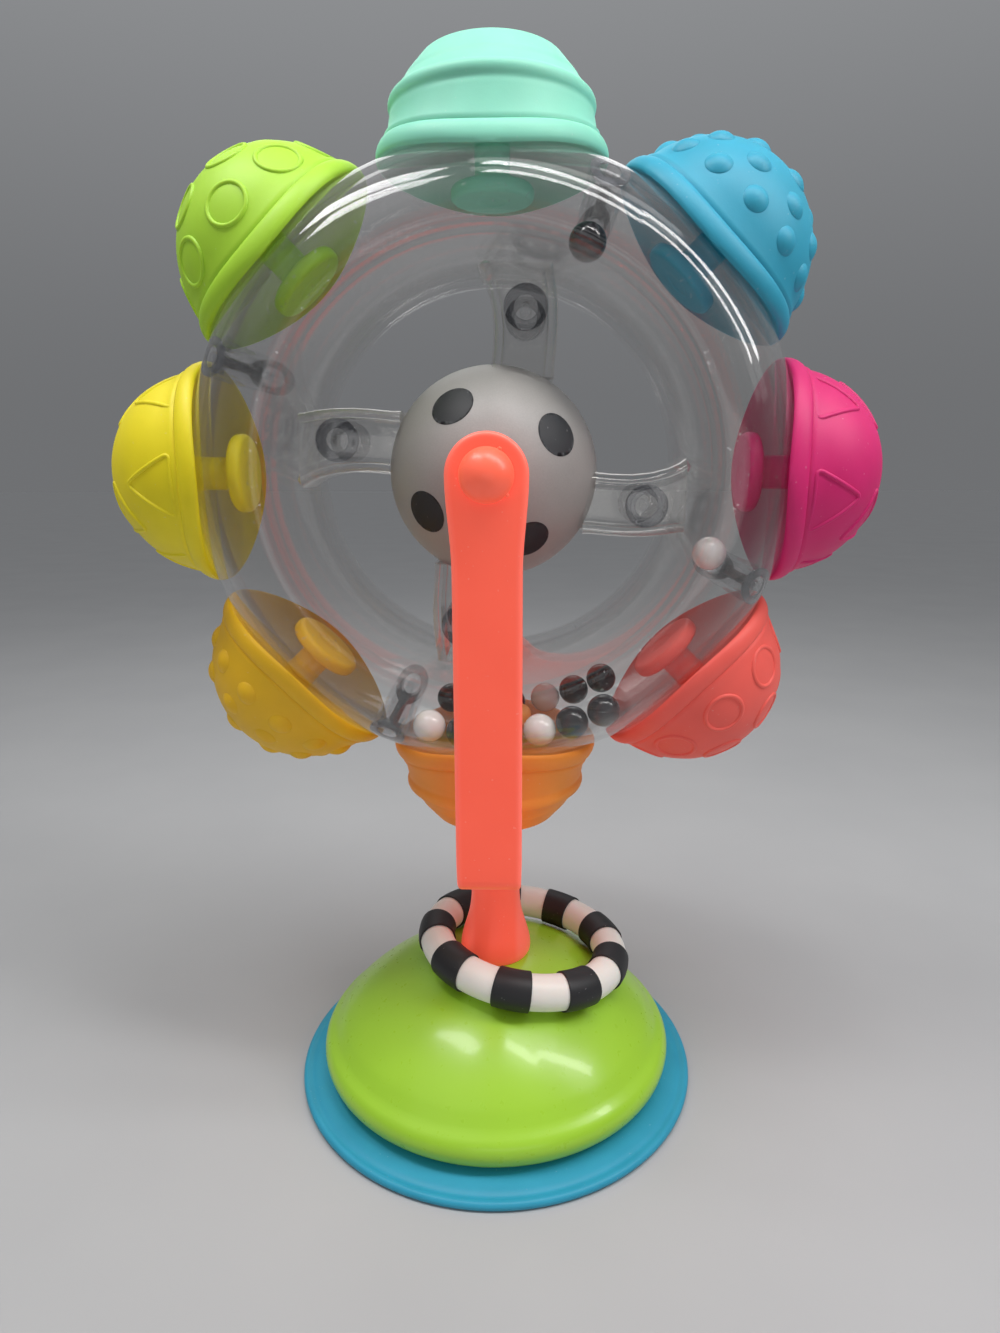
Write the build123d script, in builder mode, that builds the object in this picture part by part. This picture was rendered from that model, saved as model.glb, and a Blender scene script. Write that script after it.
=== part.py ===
"""High chair tray toy: a clear bead wheel that spins in a fork on a suction base.

Millimetres, +Z up, +X right and +Y away from the viewer, with the origin at the
centre of the suction cup's underside. The wheel turns about a level axis along Y.
"""

import math
import os

from build123d import *

# Clearances
SEAT_GAP = 0.3
RUNNING_GAP = 0.05
SNUG_GAP = 0.03

# Suction cup
CUP_RADIUS = 47.5
CUP_EDGE_THICKNESS = 1.8
CUP_BRIM = 5.5
CUP_SOLE_RADIUS = CUP_RADIUS - CUP_BRIM
CUP_HOLLOW_HEIGHT = 3.2
CUP_CROWN_HEIGHT = 6.7
CUP_CROWN_RADIUS = 14.0
CUP_SHOULDER_RADIUS = 36.0
CUP_SHOULDER_HEIGHT = 3.0
PLUG_RADIUS = 6.0
PLUG_HEAD_RADIUS = 8.5
PLUG_HEAD_HEIGHT = 3.0

# Base shell and the plate that closes it
DOME_SPHERE_RADIUS = 52.0
DOME_APEX_HEIGHT = 30.0
SHELL_WALL = 2.4
LIP_OUTER_RADIUS = 42.05
LIP_TUBE_RADIUS = 4.2
LIP_BOTTOM = CUP_SHOULDER_HEIGHT + SEAT_GAP
LIP_CREASE_RADIUS = 40.1
SHELL_BORE_RADIUS = 36.8
PLATE_THICKNESS = 2.0
PLATE_BOTTOM = CUP_CROWN_HEIGHT + SEAT_GAP
BASE_SCREW_COUNT = 3
BASE_SCREW_CIRCLE = 27.0
BASE_SCREW_RADIUS = 1.4
BASE_SCREW_HEAD_RADIUS = 2.8
BASE_SCREW_HEAD_HEIGHT = 1.4
BASE_SCREW_LENGTH = 8.0
BASE_BOSS_RADIUS = 3.4

# Neck and its screw
NECK_FOOT_RADIUS = 8.35
NECK_FOOT_ROUND = 1.2
NECK_WAIST_RADIUS = 5.7
NECK_TOP = 51.0
NECK_COLLAR = 4.5
NECK_WAIST_HEIGHT = NECK_TOP - NECK_COLLAR
NECK_SPIGOT_RADIUS = 3.6
NECK_SPIGOT_LENGTH = 5.0
NECK_SCREW_RADIUS = 1.9
NECK_SCREW_LENGTH = 12.0
NECK_SCREW_HEAD_RADIUS = 3.6
NECK_SCREW_HEAD_HEIGHT = 2.2
NECK_PAD_RADIUS = 6.0
NECK_PAD_DROP = 2.6

# Fork
ARM_INNER = 32.5
ARM_THICKNESS = 4.5
ARM_WIDTH = 12.6
ARM_FOOT_WIDTH = 11.8
ARM_HEAD_RADIUS = 7.35
ARM_SHOULDER_DROP = 17.0
ARM_EDGE_ROUND = 0.9
KNEE_HEIGHT = 65.0
KNEE_ROUND = 3.0
YOKE_FLAT = 6.5
YOKE_THICKNESS = 7.0
YOKE_INNER_FLAT = 12.0
YOKE_INNER_KNEE_RISE = 6.0
YOKE_CLEARANCE = 3.2
FORK_BOSS_RADIUS = 5.5

# Axle pins
PIN_SHANK_RADIUS = 2.85
PIN_JOURNAL_RADIUS = 2.5
PIN_HEAD_RADIUS = 4.8
PIN_HEAD_LAND = 1.0
PIN_HEAD_HEIGHT = 4.6
PIN_TIP = 4.5

# Hub ball
HUB_RADIUS = 21.9
HUB_WALL = 2.0
HUB_TUBE_RADIUS = 6.2
HUB_DISC_RADIUS = 17.0
HUB_DISC_HALF = 3.0
HUB_DISC_BORE = 3.2
DOT_RADIUS = 4.35
DOT_DEPTH = 0.9
DOT_POLAR = 43.0
DOT_ANGLES = (30, 120, 210, 300)

# Clear ring: the tube that holds the beads
RING_OUTER_RADIUS = 62.0
RING_HALF_WIDTH = 27.0
RING_HOLE_RADIUS = 39.5
RING_FLARE = 1.9
RING_FACE_WIDTH = 5.1
RING_FACE_RADIUS = RING_HOLE_RADIUS + RING_FLARE + RING_FACE_WIDTH
RING_STRAIGHT = 10.0
RING_CORNER_ROUND = 2.0
RING_WALL = 1.8

# Spokes, all four alike
SPOKE_COUNT = 4
SPOKE_WIDTH = 12.8
SPOKE_HALF_DEPTH = 8.5
SPOKE_ROUND = 3.4
SPOKE_WALL = 1.8
SPOKE_START = 14.0
SPOKE_START_SET = 5.6
SPOKE_BOSS_PLACE = 31.8
SPOKE_BOSS_SET = 6.7
SPOKE_END_SET = 3.9
SPOKE_END_FLARE = 1.0
SPOKE_BOSS_RADIUS = 4.5
SPOKE_PIN_RADIUS = 2.4

# Rim bosses between the domes
RIM_BOSS_ANGLES = (67.5, 157.5, 247.5, 337.5)
RIM_BOSS_SINK = 6.0
RIM_BOSS_CIRCLE = RING_OUTER_RADIUS - RIM_BOSS_SINK
RIM_BOSS_RADIUS = 3.85
RIM_PIN_RADIUS = 2.1
BOSS_PIN_LENGTH = 5.2

# Soft domes and the plugs that hold them
DOME_SINK = 2.7
DOME_CENTRE = RING_OUTER_RADIUS - DOME_SINK
DOME_RADIUS = 21.0
DOME_WALL = 2.3
DOME_FLOOR = 2.0
DOME_RIM_RADIUS = 22.7
DOME_RIM_HEIGHT = 4.0
DOME_RIM_ROUND = 1.4
BAND_FOOT_DROP = 3.3
BAND_STEPS = ((1.2, 10.3), (2.5, 2.8), (3.7, 4.3), (5.1, 2.2))
BAND_CROWN_RISE = 1.5
BAND_ROUND = 1.0
STEM_RADIUS = 3.5
VENT_RADIUS = 1.0
VENT_PLACE = 8.25
PUCK_RADIUS = 8.25
PUCK_THICKNESS = 5.8
PUCK_GAP = 4.4
PUCK_ROUND = 1.6
STEM_SOCKET_DEPTH = 3.6

# Relief on the domes
RELIEF_HEIGHT = 0.4
RELIEF_LINE = 0.9
CIRCLE_RADIUS = 4.6
CIRCLE_RINGS = ((1, 0, 0), (6, 36, 0), (9, 68, 30.5))
CIRCLE_SEAM = 90.0
BUMP_RADIUS = 2.4
BUMP_PROUD = 1.5
BUMP_RINGS = ((1, 0, 0), (6, 27.5, 46.5), (10, 50.5, 3), (13, 69, 20.8))
TRIANGLE_SIDE = 14.0
TRIANGLE_ROUND = 1.2
TRIANGLE_RINGS = ((6, 74, 45), (3, 41, 75))
TRIANGLE_OWN_TURNS = (180, 0)

# Beads
BEAD_RADIUS = 3.5
BEAD_ROW = 12.3
BEAD_PLAY = 0.5
FRONT_ROW = ((-104.5, "white"), (-96.9, "black"), (-88.2, "black"),
             (-79.4, "white"), (-71.9, "black"), (-64.4, "black"))
REAR_ROW = ((-101.5, "black"), (-93.9, "white"), (-86.3, "black"),
            (-77.5, "white"), (-70.0, "black"), (-62.5, "black"))
BOSS_BEAD_ANGLE = -20.0
BOSS_BEAD_GAP = 7.7
BOSS_BEAD_DEPTH = 6.0
WALL_BEAD_ANGLE = 66.6
WALL_BEAD_PLAY = 0.7
WALL_BEAD_DEPTH = 14.0

# Teether ring, lying on the base shell round the neck
TEETHER_RADIUS = 21.5
TEETHER_TUBE_RADIUS = 4.0
SLEEVE_THICKNESS = 0.45
SLEEVE_COUNT = 9
SLEEVE_ARC = 20.0
SLEEVE_TURN = 7.0
TEETHER_SET_X = 6.8
TEETHER_SET_Y = 2.0

# Sizes that follow from those above
YOKE_INNER = NECK_TOP + YOKE_THICKNESS
AXLE_HEIGHT = YOKE_INNER + YOKE_CLEARANCE + DOME_CENTRE + DOME_RADIUS + BUMP_PROUD
WHEEL_CENTRE = (0, 0, AXLE_HEIGHT)
WHEEL_AXIS = Axis(WHEEL_CENTRE, (0, 1, 0))
WHEEL_SECTION = Plane(origin=WHEEL_CENTRE, x_dir=(0, 1, 0), z_dir=(1, 0, 0))
WHEEL_FRONT = Plane(origin=WHEEL_CENTRE, x_dir=(1, 0, 0), z_dir=(0, -1, 0))
WHEEL_SIDES = {"front": -1, "rear": 1}
HALF_SPACE = 2 * RING_OUTER_RADIUS
ARM_OUTER = ARM_INNER + ARM_THICKNESS
DOME_SPHERE_CENTRE = DOME_APEX_HEIGHT - DOME_SPHERE_RADIUS
SHELL_SPHERE_RADIUS = DOME_SPHERE_RADIUS - SHELL_WALL
PLATE_TOP = PLATE_BOTTOM + PLATE_THICKNESS
HUB_BOSS_END = HUB_RADIUS + SEAT_GAP
SPOKE_HALF_WIDTH = SPOKE_WIDTH / 2
SPOKE_MID = (SPOKE_START + RING_HOLE_RADIUS + RING_WALL) / 2
SPOKE_END = RING_HOLE_RADIUS + RING_WALL
TUBE_HALF_WIDTH = RING_HALF_WIDTH - RING_WALL
TUBE_RISE = RING_OUTER_RADIUS - RING_FACE_RADIUS - RING_WALL
PUCK_OUTER = RING_OUTER_RADIUS - RING_WALL - PUCK_GAP
PUCK_INNER = PUCK_OUTER - PUCK_THICKNESS
BEAD_CIRCLE = (
    RING_FACE_RADIUS
    + TUBE_RISE * math.sqrt(1 - (BEAD_ROW / TUBE_HALF_WIDTH) ** 2)
    - BEAD_RADIUS
    - BEAD_PLAY
)
BOSS_BEAD_CIRCLE = RIM_BOSS_CIRCLE - BOSS_BEAD_GAP
WALL_BEAD_CIRCLE = RING_HOLE_RADIUS + RING_WALL + BEAD_RADIUS + WALL_BEAD_PLAY

# Domes: name, angle round the wheel, relief and the relief's own turn
DOMES = (
    ("mint_dome", 90, "bands", 0),
    ("blue_dome", 45, "bumps", 0),
    ("magenta_dome", 0, "triangles", 0),
    ("coral_dome", -45, "circles", 0),
    ("orange_dome", -90, "bands", 0),
    ("amber_dome", -135, "bumps", 180),
    ("yellow_dome", 180, "triangles", 39),
    ("lime_dome", 135, "circles", 0),
)

os.makedirs("parts", exist_ok=True)


def save(builder, label):
    """Label a finished piece and write its STEP file."""
    builder.part.label = label
    export_step(builder.part, f"parts/{label}.step")


def sphere_height(radius, sphere_radius):
    """Height of a base sphere's surface at a radius from the neck's axis."""
    return DOME_SPHERE_CENTRE + math.sqrt(sphere_radius**2 - radius**2)


def cap_height(base_radius, rise, radius):
    """Height of a round cap above its base at a radius from its axis."""
    sphere_radius = (base_radius**2 + rise**2) / (2 * rise)
    return math.sqrt(sphere_radius**2 - radius**2) - sphere_radius + rise


def on_wheel(radius, angle, depth=0.0):
    """Point at a radius and an angle round the wheel, seen from the front."""
    turn = math.radians(angle)
    return Vector(radius * math.cos(turn), depth, AXLE_HEIGHT + radius * math.sin(turn))


def radial_plane(angle, offset=0.0):
    """Plane square to the wheel's radius, with its own +Y towards the rear."""
    turn = math.radians(angle)
    outward = (math.cos(turn), 0, math.sin(turn))
    along = (math.sin(turn), 0, -math.cos(turn))
    return Plane(origin=WHEEL_CENTRE, x_dir=along, z_dir=outward).offset(offset)


# Suction cup: a thin soft disc, hollow below, with a plug that snaps into the plate
plug_top = PLATE_TOP + SEAT_GAP
with BuildPart() as suction_cup:
    with BuildSketch(Plane.XZ):
        with BuildLine():
            Polyline(
                (CUP_SOLE_RADIUS, 0),
                (CUP_RADIUS - CUP_EDGE_THICKNESS / 2, 0),
            )
            ThreePointArc(
                (CUP_RADIUS - CUP_EDGE_THICKNESS / 2, 0),
                (CUP_RADIUS, CUP_EDGE_THICKNESS / 2),
                (CUP_RADIUS - CUP_EDGE_THICKNESS / 2, CUP_EDGE_THICKNESS),
            )
            Polyline(
                (CUP_RADIUS - CUP_EDGE_THICKNESS / 2, CUP_EDGE_THICKNESS),
                (LIP_CREASE_RADIUS, CUP_SHOULDER_HEIGHT),
                (CUP_SHOULDER_RADIUS, CUP_SHOULDER_HEIGHT),
                (CUP_CROWN_RADIUS, CUP_CROWN_HEIGHT),
                (PLUG_RADIUS, CUP_CROWN_HEIGHT),
                (PLUG_RADIUS, plug_top),
                (PLUG_HEAD_RADIUS, plug_top),
                (PLUG_RADIUS, plug_top + PLUG_HEAD_HEIGHT),
                (0, plug_top + PLUG_HEAD_HEIGHT),
                (0, CUP_HOLLOW_HEIGHT),
            )
            ThreePointArc(
                (0, CUP_HOLLOW_HEIGHT),
                (CUP_SOLE_RADIUS / 2, cap_height(CUP_SOLE_RADIUS, CUP_HOLLOW_HEIGHT, CUP_SOLE_RADIUS / 2)),
                (CUP_SOLE_RADIUS, 0),
            )
        make_face()
    revolve(axis=Axis.Z)
save(suction_cup, "suction_cup")

# Base plate: closes the shell from below and holds the cup's plug
with BuildPart() as base_plate:
    with BuildSketch(Plane.XY.offset(PLATE_BOTTOM)):
        Circle(SHELL_BORE_RADIUS - SEAT_GAP)
        Circle(PLUG_RADIUS + RUNNING_GAP, mode=Mode.SUBTRACT)
        with PolarLocations(BASE_SCREW_CIRCLE, BASE_SCREW_COUNT):
            Circle(BASE_SCREW_RADIUS + RUNNING_GAP, mode=Mode.SUBTRACT)
    extrude(amount=PLATE_THICKNESS)
    with BuildSketch(Plane.XY.offset(PLATE_BOTTOM)):
        with PolarLocations(BASE_SCREW_CIRCLE, BASE_SCREW_COUNT):
            Circle(BASE_SCREW_HEAD_RADIUS + SEAT_GAP)
    extrude(amount=BASE_SCREW_HEAD_HEIGHT / 2, mode=Mode.SUBTRACT)
save(base_plate, "base_plate")

# Base shell: a low glossy dome with a rolled lip, screw bosses and a pad for the neck
lip_centre = (LIP_OUTER_RADIUS - LIP_TUBE_RADIUS, LIP_BOTTOM + LIP_TUBE_RADIUS)
crease_height = sphere_height(LIP_CREASE_RADIUS, DOME_SPHERE_RADIUS)
mouth_height = sphere_height(SHELL_BORE_RADIUS, SHELL_SPHERE_RADIUS)
neck_pad_bottom = DOME_APEX_HEIGHT - SHELL_WALL - NECK_PAD_DROP
with BuildPart() as base_shell:
    with BuildSketch(Plane.XZ):
        with BuildLine():
            ThreePointArc(
                (0, DOME_APEX_HEIGHT),
                (LIP_CREASE_RADIUS / 2, sphere_height(LIP_CREASE_RADIUS / 2, DOME_SPHERE_RADIUS)),
                (LIP_CREASE_RADIUS, crease_height),
            )
            ThreePointArc(
                (LIP_CREASE_RADIUS, crease_height),
                (LIP_OUTER_RADIUS, lip_centre[1]),
                (lip_centre[0], LIP_BOTTOM),
            )
            Polyline(
                (lip_centre[0], LIP_BOTTOM),
                (SHELL_BORE_RADIUS, LIP_BOTTOM),
                (SHELL_BORE_RADIUS, mouth_height),
            )
            ThreePointArc(
                (SHELL_BORE_RADIUS, mouth_height),
                (SHELL_BORE_RADIUS / 2, sphere_height(SHELL_BORE_RADIUS / 2, SHELL_SPHERE_RADIUS)),
                (0, DOME_APEX_HEIGHT - SHELL_WALL),
            )
            Line((0, DOME_APEX_HEIGHT - SHELL_WALL), (0, DOME_APEX_HEIGHT))
        make_face()
    revolve(axis=Axis.Z)
    with BuildSketch(Plane.XY.offset(PLATE_TOP)):
        with PolarLocations(BASE_SCREW_CIRCLE, BASE_SCREW_COUNT):
            Circle(BASE_BOSS_RADIUS)
    extrude(amount=sphere_height(BASE_SCREW_CIRCLE, SHELL_SPHERE_RADIUS) - PLATE_TOP + SHELL_WALL / 2)
    with BuildSketch(Plane.XY.offset(neck_pad_bottom)):
        Circle(NECK_PAD_RADIUS)
    extrude(amount=NECK_PAD_DROP + SHELL_WALL / 2)
    with BuildSketch(Plane.XY.offset(neck_pad_bottom)):
        Circle(NECK_SCREW_RADIUS + RUNNING_GAP)
    extrude(amount=NECK_PAD_DROP + 2 * SHELL_WALL, mode=Mode.SUBTRACT)
    with BuildSketch(Plane.XY.offset(PLATE_TOP)):
        with PolarLocations(BASE_SCREW_CIRCLE, BASE_SCREW_COUNT):
            Circle(BASE_SCREW_RADIUS + RUNNING_GAP)
    extrude(amount=BASE_SCREW_LENGTH, mode=Mode.SUBTRACT)
save(base_shell, "base_shell")

# Base screws: three pan heads up through the plate into the shell's bosses
base_screw_seat = PLATE_BOTTOM + BASE_SCREW_HEAD_HEIGHT / 2
with BuildPart() as base_screws:
    with BuildSketch(Plane.XY.offset(base_screw_seat)):
        with PolarLocations(BASE_SCREW_CIRCLE, BASE_SCREW_COUNT):
            Circle(BASE_SCREW_RADIUS)
    extrude(amount=BASE_SCREW_LENGTH)
    with BuildSketch(Plane.XY.offset(base_screw_seat)):
        with PolarLocations(BASE_SCREW_CIRCLE, BASE_SCREW_COUNT):
            Circle(BASE_SCREW_HEAD_RADIUS)
    extrude(amount=-BASE_SCREW_HEAD_HEIGHT / 2)
save(base_screws, "base_screws")

# Neck: a flared post that stands on the shell, with a spigot up into the fork
foot_height = sphere_height(NECK_FOOT_RADIUS, DOME_SPHERE_RADIUS + SNUG_GAP)
with BuildPart() as neck:
    with BuildSketch(Plane.XZ):
        with BuildLine():
            Line((0, foot_height), (NECK_FOOT_RADIUS - NECK_FOOT_ROUND / 2, foot_height))
            Line(
                (NECK_FOOT_RADIUS - NECK_FOOT_ROUND / 2, foot_height),
                (NECK_FOOT_RADIUS, foot_height + NECK_FOOT_ROUND),
            )
            Spline(
                (NECK_FOOT_RADIUS, foot_height + NECK_FOOT_ROUND),
                (NECK_WAIST_RADIUS, NECK_WAIST_HEIGHT),
                tangents=((-0.25, 1), (0, 1)),
            )
            Polyline(
                (NECK_WAIST_RADIUS, NECK_WAIST_HEIGHT),
                (NECK_WAIST_RADIUS, NECK_TOP),
                (NECK_SPIGOT_RADIUS, NECK_TOP),
                (NECK_SPIGOT_RADIUS, NECK_TOP + NECK_SPIGOT_LENGTH),
                (0, NECK_TOP + NECK_SPIGOT_LENGTH),
                (0, foot_height),
            )
        make_face()
    revolve(axis=Axis.Z)
    with Locations((0, 0, DOME_SPHERE_CENTRE)):
        Sphere(DOME_SPHERE_RADIUS + SNUG_GAP, mode=Mode.SUBTRACT)
    with BuildSketch(Plane.XY.offset(neck_pad_bottom)):
        Circle(NECK_SCREW_RADIUS + RUNNING_GAP)
    extrude(amount=NECK_SCREW_LENGTH + SEAT_GAP, mode=Mode.SUBTRACT)
save(neck, "neck")

# Neck screw: one pan head under the shell's pad, up into the neck
with BuildPart() as neck_screw:
    with BuildSketch(Plane.XY.offset(neck_pad_bottom)):
        Circle(NECK_SCREW_HEAD_RADIUS)
    extrude(amount=-NECK_SCREW_HEAD_HEIGHT)
    with BuildSketch(Plane.XY.offset(neck_pad_bottom)):
        Circle(NECK_SCREW_RADIUS)
    extrude(amount=NECK_SCREW_LENGTH)
    fillet(neck_screw.edges().group_by(Axis.Z)[0], NECK_SCREW_HEAD_HEIGHT / 3)
save(neck_screw, "neck_screw")

# Fork: one soft strap bent into a U, with a round head and a boss on each arm
arm_top = AXLE_HEIGHT + ARM_HEAD_RADIUS
inner_knee = KNEE_HEIGHT + YOKE_INNER_KNEE_RISE
with BuildPart() as fork:
    with BuildSketch(Plane.YZ) as fork_side:
        with BuildLine():
            Polyline(
                (-ARM_OUTER, arm_top),
                (-ARM_OUTER, KNEE_HEIGHT),
                (-YOKE_FLAT, NECK_TOP),
                (YOKE_FLAT, NECK_TOP),
                (ARM_OUTER, KNEE_HEIGHT),
                (ARM_OUTER, arm_top),
                (ARM_INNER, arm_top),
                (ARM_INNER, inner_knee),
                (YOKE_INNER_FLAT, YOKE_INNER),
                (-YOKE_INNER_FLAT, YOKE_INNER),
                (-ARM_INNER, inner_knee),
                (-ARM_INNER, arm_top),
                close=True,
            )
        make_face()
        knees = fork_side.vertices().filter_by_position(Axis.Y, KNEE_HEIGHT - 1, inner_knee + 1)
        fillet(knees, KNEE_ROUND)
        bends = fork_side.vertices().group_by(Axis.Y)[0]
        fillet(bends, KNEE_ROUND)
    extrude(amount=ARM_HEAD_RADIUS, both=True)
    with BuildSketch(Plane.XZ):
        with BuildLine():
            ThreePointArc(
                (ARM_HEAD_RADIUS, AXLE_HEIGHT),
                (0, arm_top),
                (-ARM_HEAD_RADIUS, AXLE_HEIGHT),
            )
            Spline(
                (-ARM_HEAD_RADIUS, AXLE_HEIGHT),
                (-ARM_WIDTH / 2, AXLE_HEIGHT - ARM_SHOULDER_DROP),
                tangents=((0, -1), (0, -1)),
            )
            Polyline(
                (-ARM_WIDTH / 2, AXLE_HEIGHT - ARM_SHOULDER_DROP),
                (-ARM_WIDTH / 2, inner_knee),
                (-ARM_FOOT_WIDTH / 2, NECK_TOP),
                (ARM_FOOT_WIDTH / 2, NECK_TOP),
                (ARM_WIDTH / 2, inner_knee),
                (ARM_WIDTH / 2, AXLE_HEIGHT - ARM_SHOULDER_DROP),
            )
            Spline(
                (ARM_WIDTH / 2, AXLE_HEIGHT - ARM_SHOULDER_DROP),
                (ARM_HEAD_RADIUS, AXLE_HEIGHT),
                tangents=((0, 1), (0, 1)),
            )
        make_face()
    extrude(amount=ARM_OUTER + 1, both=True, mode=Mode.INTERSECT)
    outer_faces = fork.faces().filter_by(Axis.Y).sort_by(Axis.Y)
    fillet(outer_faces[0].edges() + outer_faces[-1].edges(), ARM_EDGE_ROUND)
    for side in WHEEL_SIDES.values():
        with BuildSketch(WHEEL_FRONT.offset(-side * HUB_BOSS_END)):
            Circle(FORK_BOSS_RADIUS)
        extrude(amount=-side * (ARM_INNER - HUB_BOSS_END))
    with BuildSketch(WHEEL_FRONT):
        Circle(PIN_SHANK_RADIUS + SNUG_GAP)
    extrude(amount=ARM_OUTER + 1, both=True, mode=Mode.SUBTRACT)
    with BuildSketch(Plane.XY.offset(NECK_TOP)):
        Circle(NECK_SPIGOT_RADIUS + SNUG_GAP)
    extrude(amount=NECK_SPIGOT_LENGTH + SEAT_GAP, mode=Mode.SUBTRACT)
save(fork, "fork")

# Axle pins: a domed head outside each arm and a journal that the hub turns on
pin_crown = PIN_HEAD_HEIGHT - PIN_HEAD_LAND
pin_crown_middle = cap_height(PIN_HEAD_RADIUS, pin_crown, PIN_HEAD_RADIUS / 2)
for name, side in WHEEL_SIDES.items():
    with BuildPart() as axle_pin:
        with BuildSketch(WHEEL_SECTION):
            with BuildLine():
                Polyline(
                    (side * (ARM_OUTER + PIN_HEAD_HEIGHT), 0),
                    (side * PIN_TIP, 0),
                    (side * PIN_TIP, PIN_JOURNAL_RADIUS),
                    (side * HUB_BOSS_END, PIN_JOURNAL_RADIUS),
                    (side * HUB_BOSS_END, PIN_SHANK_RADIUS),
                    (side * ARM_OUTER, PIN_SHANK_RADIUS),
                    (side * ARM_OUTER, PIN_HEAD_RADIUS),
                    (side * (ARM_OUTER + PIN_HEAD_LAND), PIN_HEAD_RADIUS),
                )
                ThreePointArc(
                    (side * (ARM_OUTER + PIN_HEAD_LAND), PIN_HEAD_RADIUS),
                    (side * (ARM_OUTER + PIN_HEAD_LAND + pin_crown_middle), PIN_HEAD_RADIUS / 2),
                    (side * (ARM_OUTER + PIN_HEAD_HEIGHT), 0),
                )
            make_face()
        revolve(axis=WHEEL_AXIS)
    save(axle_pin, f"{name}_axle_pin")


# Hub ball: two frosted half shells, notched for the spokes, with flush black dots
def dot_planes(side):
    """Planes whose normals point out through the dots on one side of the ball."""
    planes = []
    for angle in DOT_ANGLES:
        turn, polar = math.radians(angle), math.radians(DOT_POLAR)
        outward = (
            math.sin(polar) * math.cos(turn),
            side * math.cos(polar),
            math.sin(polar) * math.sin(turn),
        )
        planes.append(Plane(origin=WHEEL_CENTRE, z_dir=outward))
    return planes


for name, side in WHEEL_SIDES.items():
    with BuildPart() as hub_shell:
        with BuildSketch(WHEEL_SECTION):
            with BuildLine():
                CenterArc((0, 0), HUB_RADIUS, 0 if side > 0 else 90, 90)
                CenterArc((0, 0), HUB_RADIUS - HUB_WALL, 0 if side > 0 else 90, 90)
                Line((side * HUB_RADIUS, 0), (side * (HUB_RADIUS - HUB_WALL), 0))
                Line((0, HUB_RADIUS), (0, HUB_RADIUS - HUB_WALL))
            make_face()
        revolve(axis=WHEEL_AXIS)
        with BuildSketch(WHEEL_FRONT.offset(-side * HUB_DISC_HALF)):
            Circle(HUB_TUBE_RADIUS)
        extrude(amount=-side * (HUB_RADIUS - HUB_WALL - HUB_DISC_HALF))
        with BuildSketch(WHEEL_FRONT):
            Circle(PIN_JOURNAL_RADIUS + RUNNING_GAP)
        extrude(amount=-side * (HUB_RADIUS + 1), mode=Mode.SUBTRACT)
        with BuildSketch(WHEEL_FRONT):
            with PolarLocations(0, SPOKE_COUNT):
                with Locations((HUB_RADIUS, -SPOKE_START_SET - (SPOKE_BOSS_SET - SPOKE_START_SET) / 2)):
                    Rectangle(HUB_RADIUS, SPOKE_WIDTH + 4 * SEAT_GAP)
        extrude(amount=-side * (SPOKE_HALF_DEPTH + SEAT_GAP), mode=Mode.SUBTRACT)
        for dot_plane in dot_planes(side):
            with BuildSketch(dot_plane.offset(HUB_RADIUS - DOT_DEPTH)):
                Circle(DOT_RADIUS + SNUG_GAP)
            extrude(amount=2 * DOT_DEPTH, mode=Mode.SUBTRACT)
    save(hub_shell, f"hub_{name}_shell")

    with BuildPart() as hub_dots:
        for dot_plane in dot_planes(side):
            with BuildSketch(dot_plane.offset(HUB_RADIUS - DOT_DEPTH)):
                Circle(DOT_RADIUS)
            extrude(amount=2 * DOT_DEPTH)
        with Locations(WHEEL_CENTRE):
            Sphere(HUB_RADIUS, mode=Mode.INTERSECT)
    save(hub_dots, f"hub_dots_{name}")


# Clear wheel: two half shells, each a half tube, four hollow spokes and its bosses
def ring_outline(inset):
    """Draw the ring tube's cross-section, drawn in by a wall thickness."""
    half = RING_HALF_WIDTH - inset
    hole = RING_HOLE_RADIUS + inset
    with BuildSketch(WHEEL_SECTION) as outline:
        with BuildLine():
            Polyline(
                (-half, RING_FACE_RADIUS),
                (-half, hole + RING_FLARE),
                (-RING_STRAIGHT, hole),
                (RING_STRAIGHT, hole),
                (half, hole + RING_FLARE),
                (half, RING_FACE_RADIUS),
            )
            EllipticalCenterArc(
                (0, RING_FACE_RADIUS),
                half,
                RING_OUTER_RADIUS - RING_FACE_RADIUS - inset,
                start_angle=0,
                arc_size=180,
            )
        make_face()
        mouth = hole + RING_FLARE
        corners = outline.vertices().filter_by_position(Axis.Y, mouth - SNUG_GAP, mouth + SNUG_GAP)
        fillet(corners, RING_CORNER_ROUND - inset)
    return outline.sketch


def spoke_bar(inset, reach):
    """Build one D-section spoke, drawn in by a wall thickness, out to a radius."""
    half = SPOKE_HALF_WIDTH - inset
    half_depth = SPOKE_HALF_DEPTH - inset
    with BuildPart() as bar:
        with BuildSketch(WHEEL_FRONT.offset(half_depth)):
            with BuildLine():
                upper, lower = (
                    ThreePointArc(
                        (SPOKE_START + inset, -SPOKE_START_SET + edge * half),
                        (SPOKE_MID, -SPOKE_BOSS_SET + edge * half),
                        (SPOKE_END, -SPOKE_END_SET + edge * (half + SPOKE_END_FLARE)),
                    )
                    for edge in (1, -1)
                )
                Line(upper @ 0, lower @ 0)
                Line(upper @ 1, lower @ 1)
            make_face()
            Circle(reach, mode=Mode.INTERSECT)
        extrude(amount=-2 * half_depth)
        side_edges = bar.faces().filter_by(Axis.Y).edges()
        fillet(side_edges.sort_by(SortBy.LENGTH)[-4:], SPOKE_ROUND - inset)
    return bar.part


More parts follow.
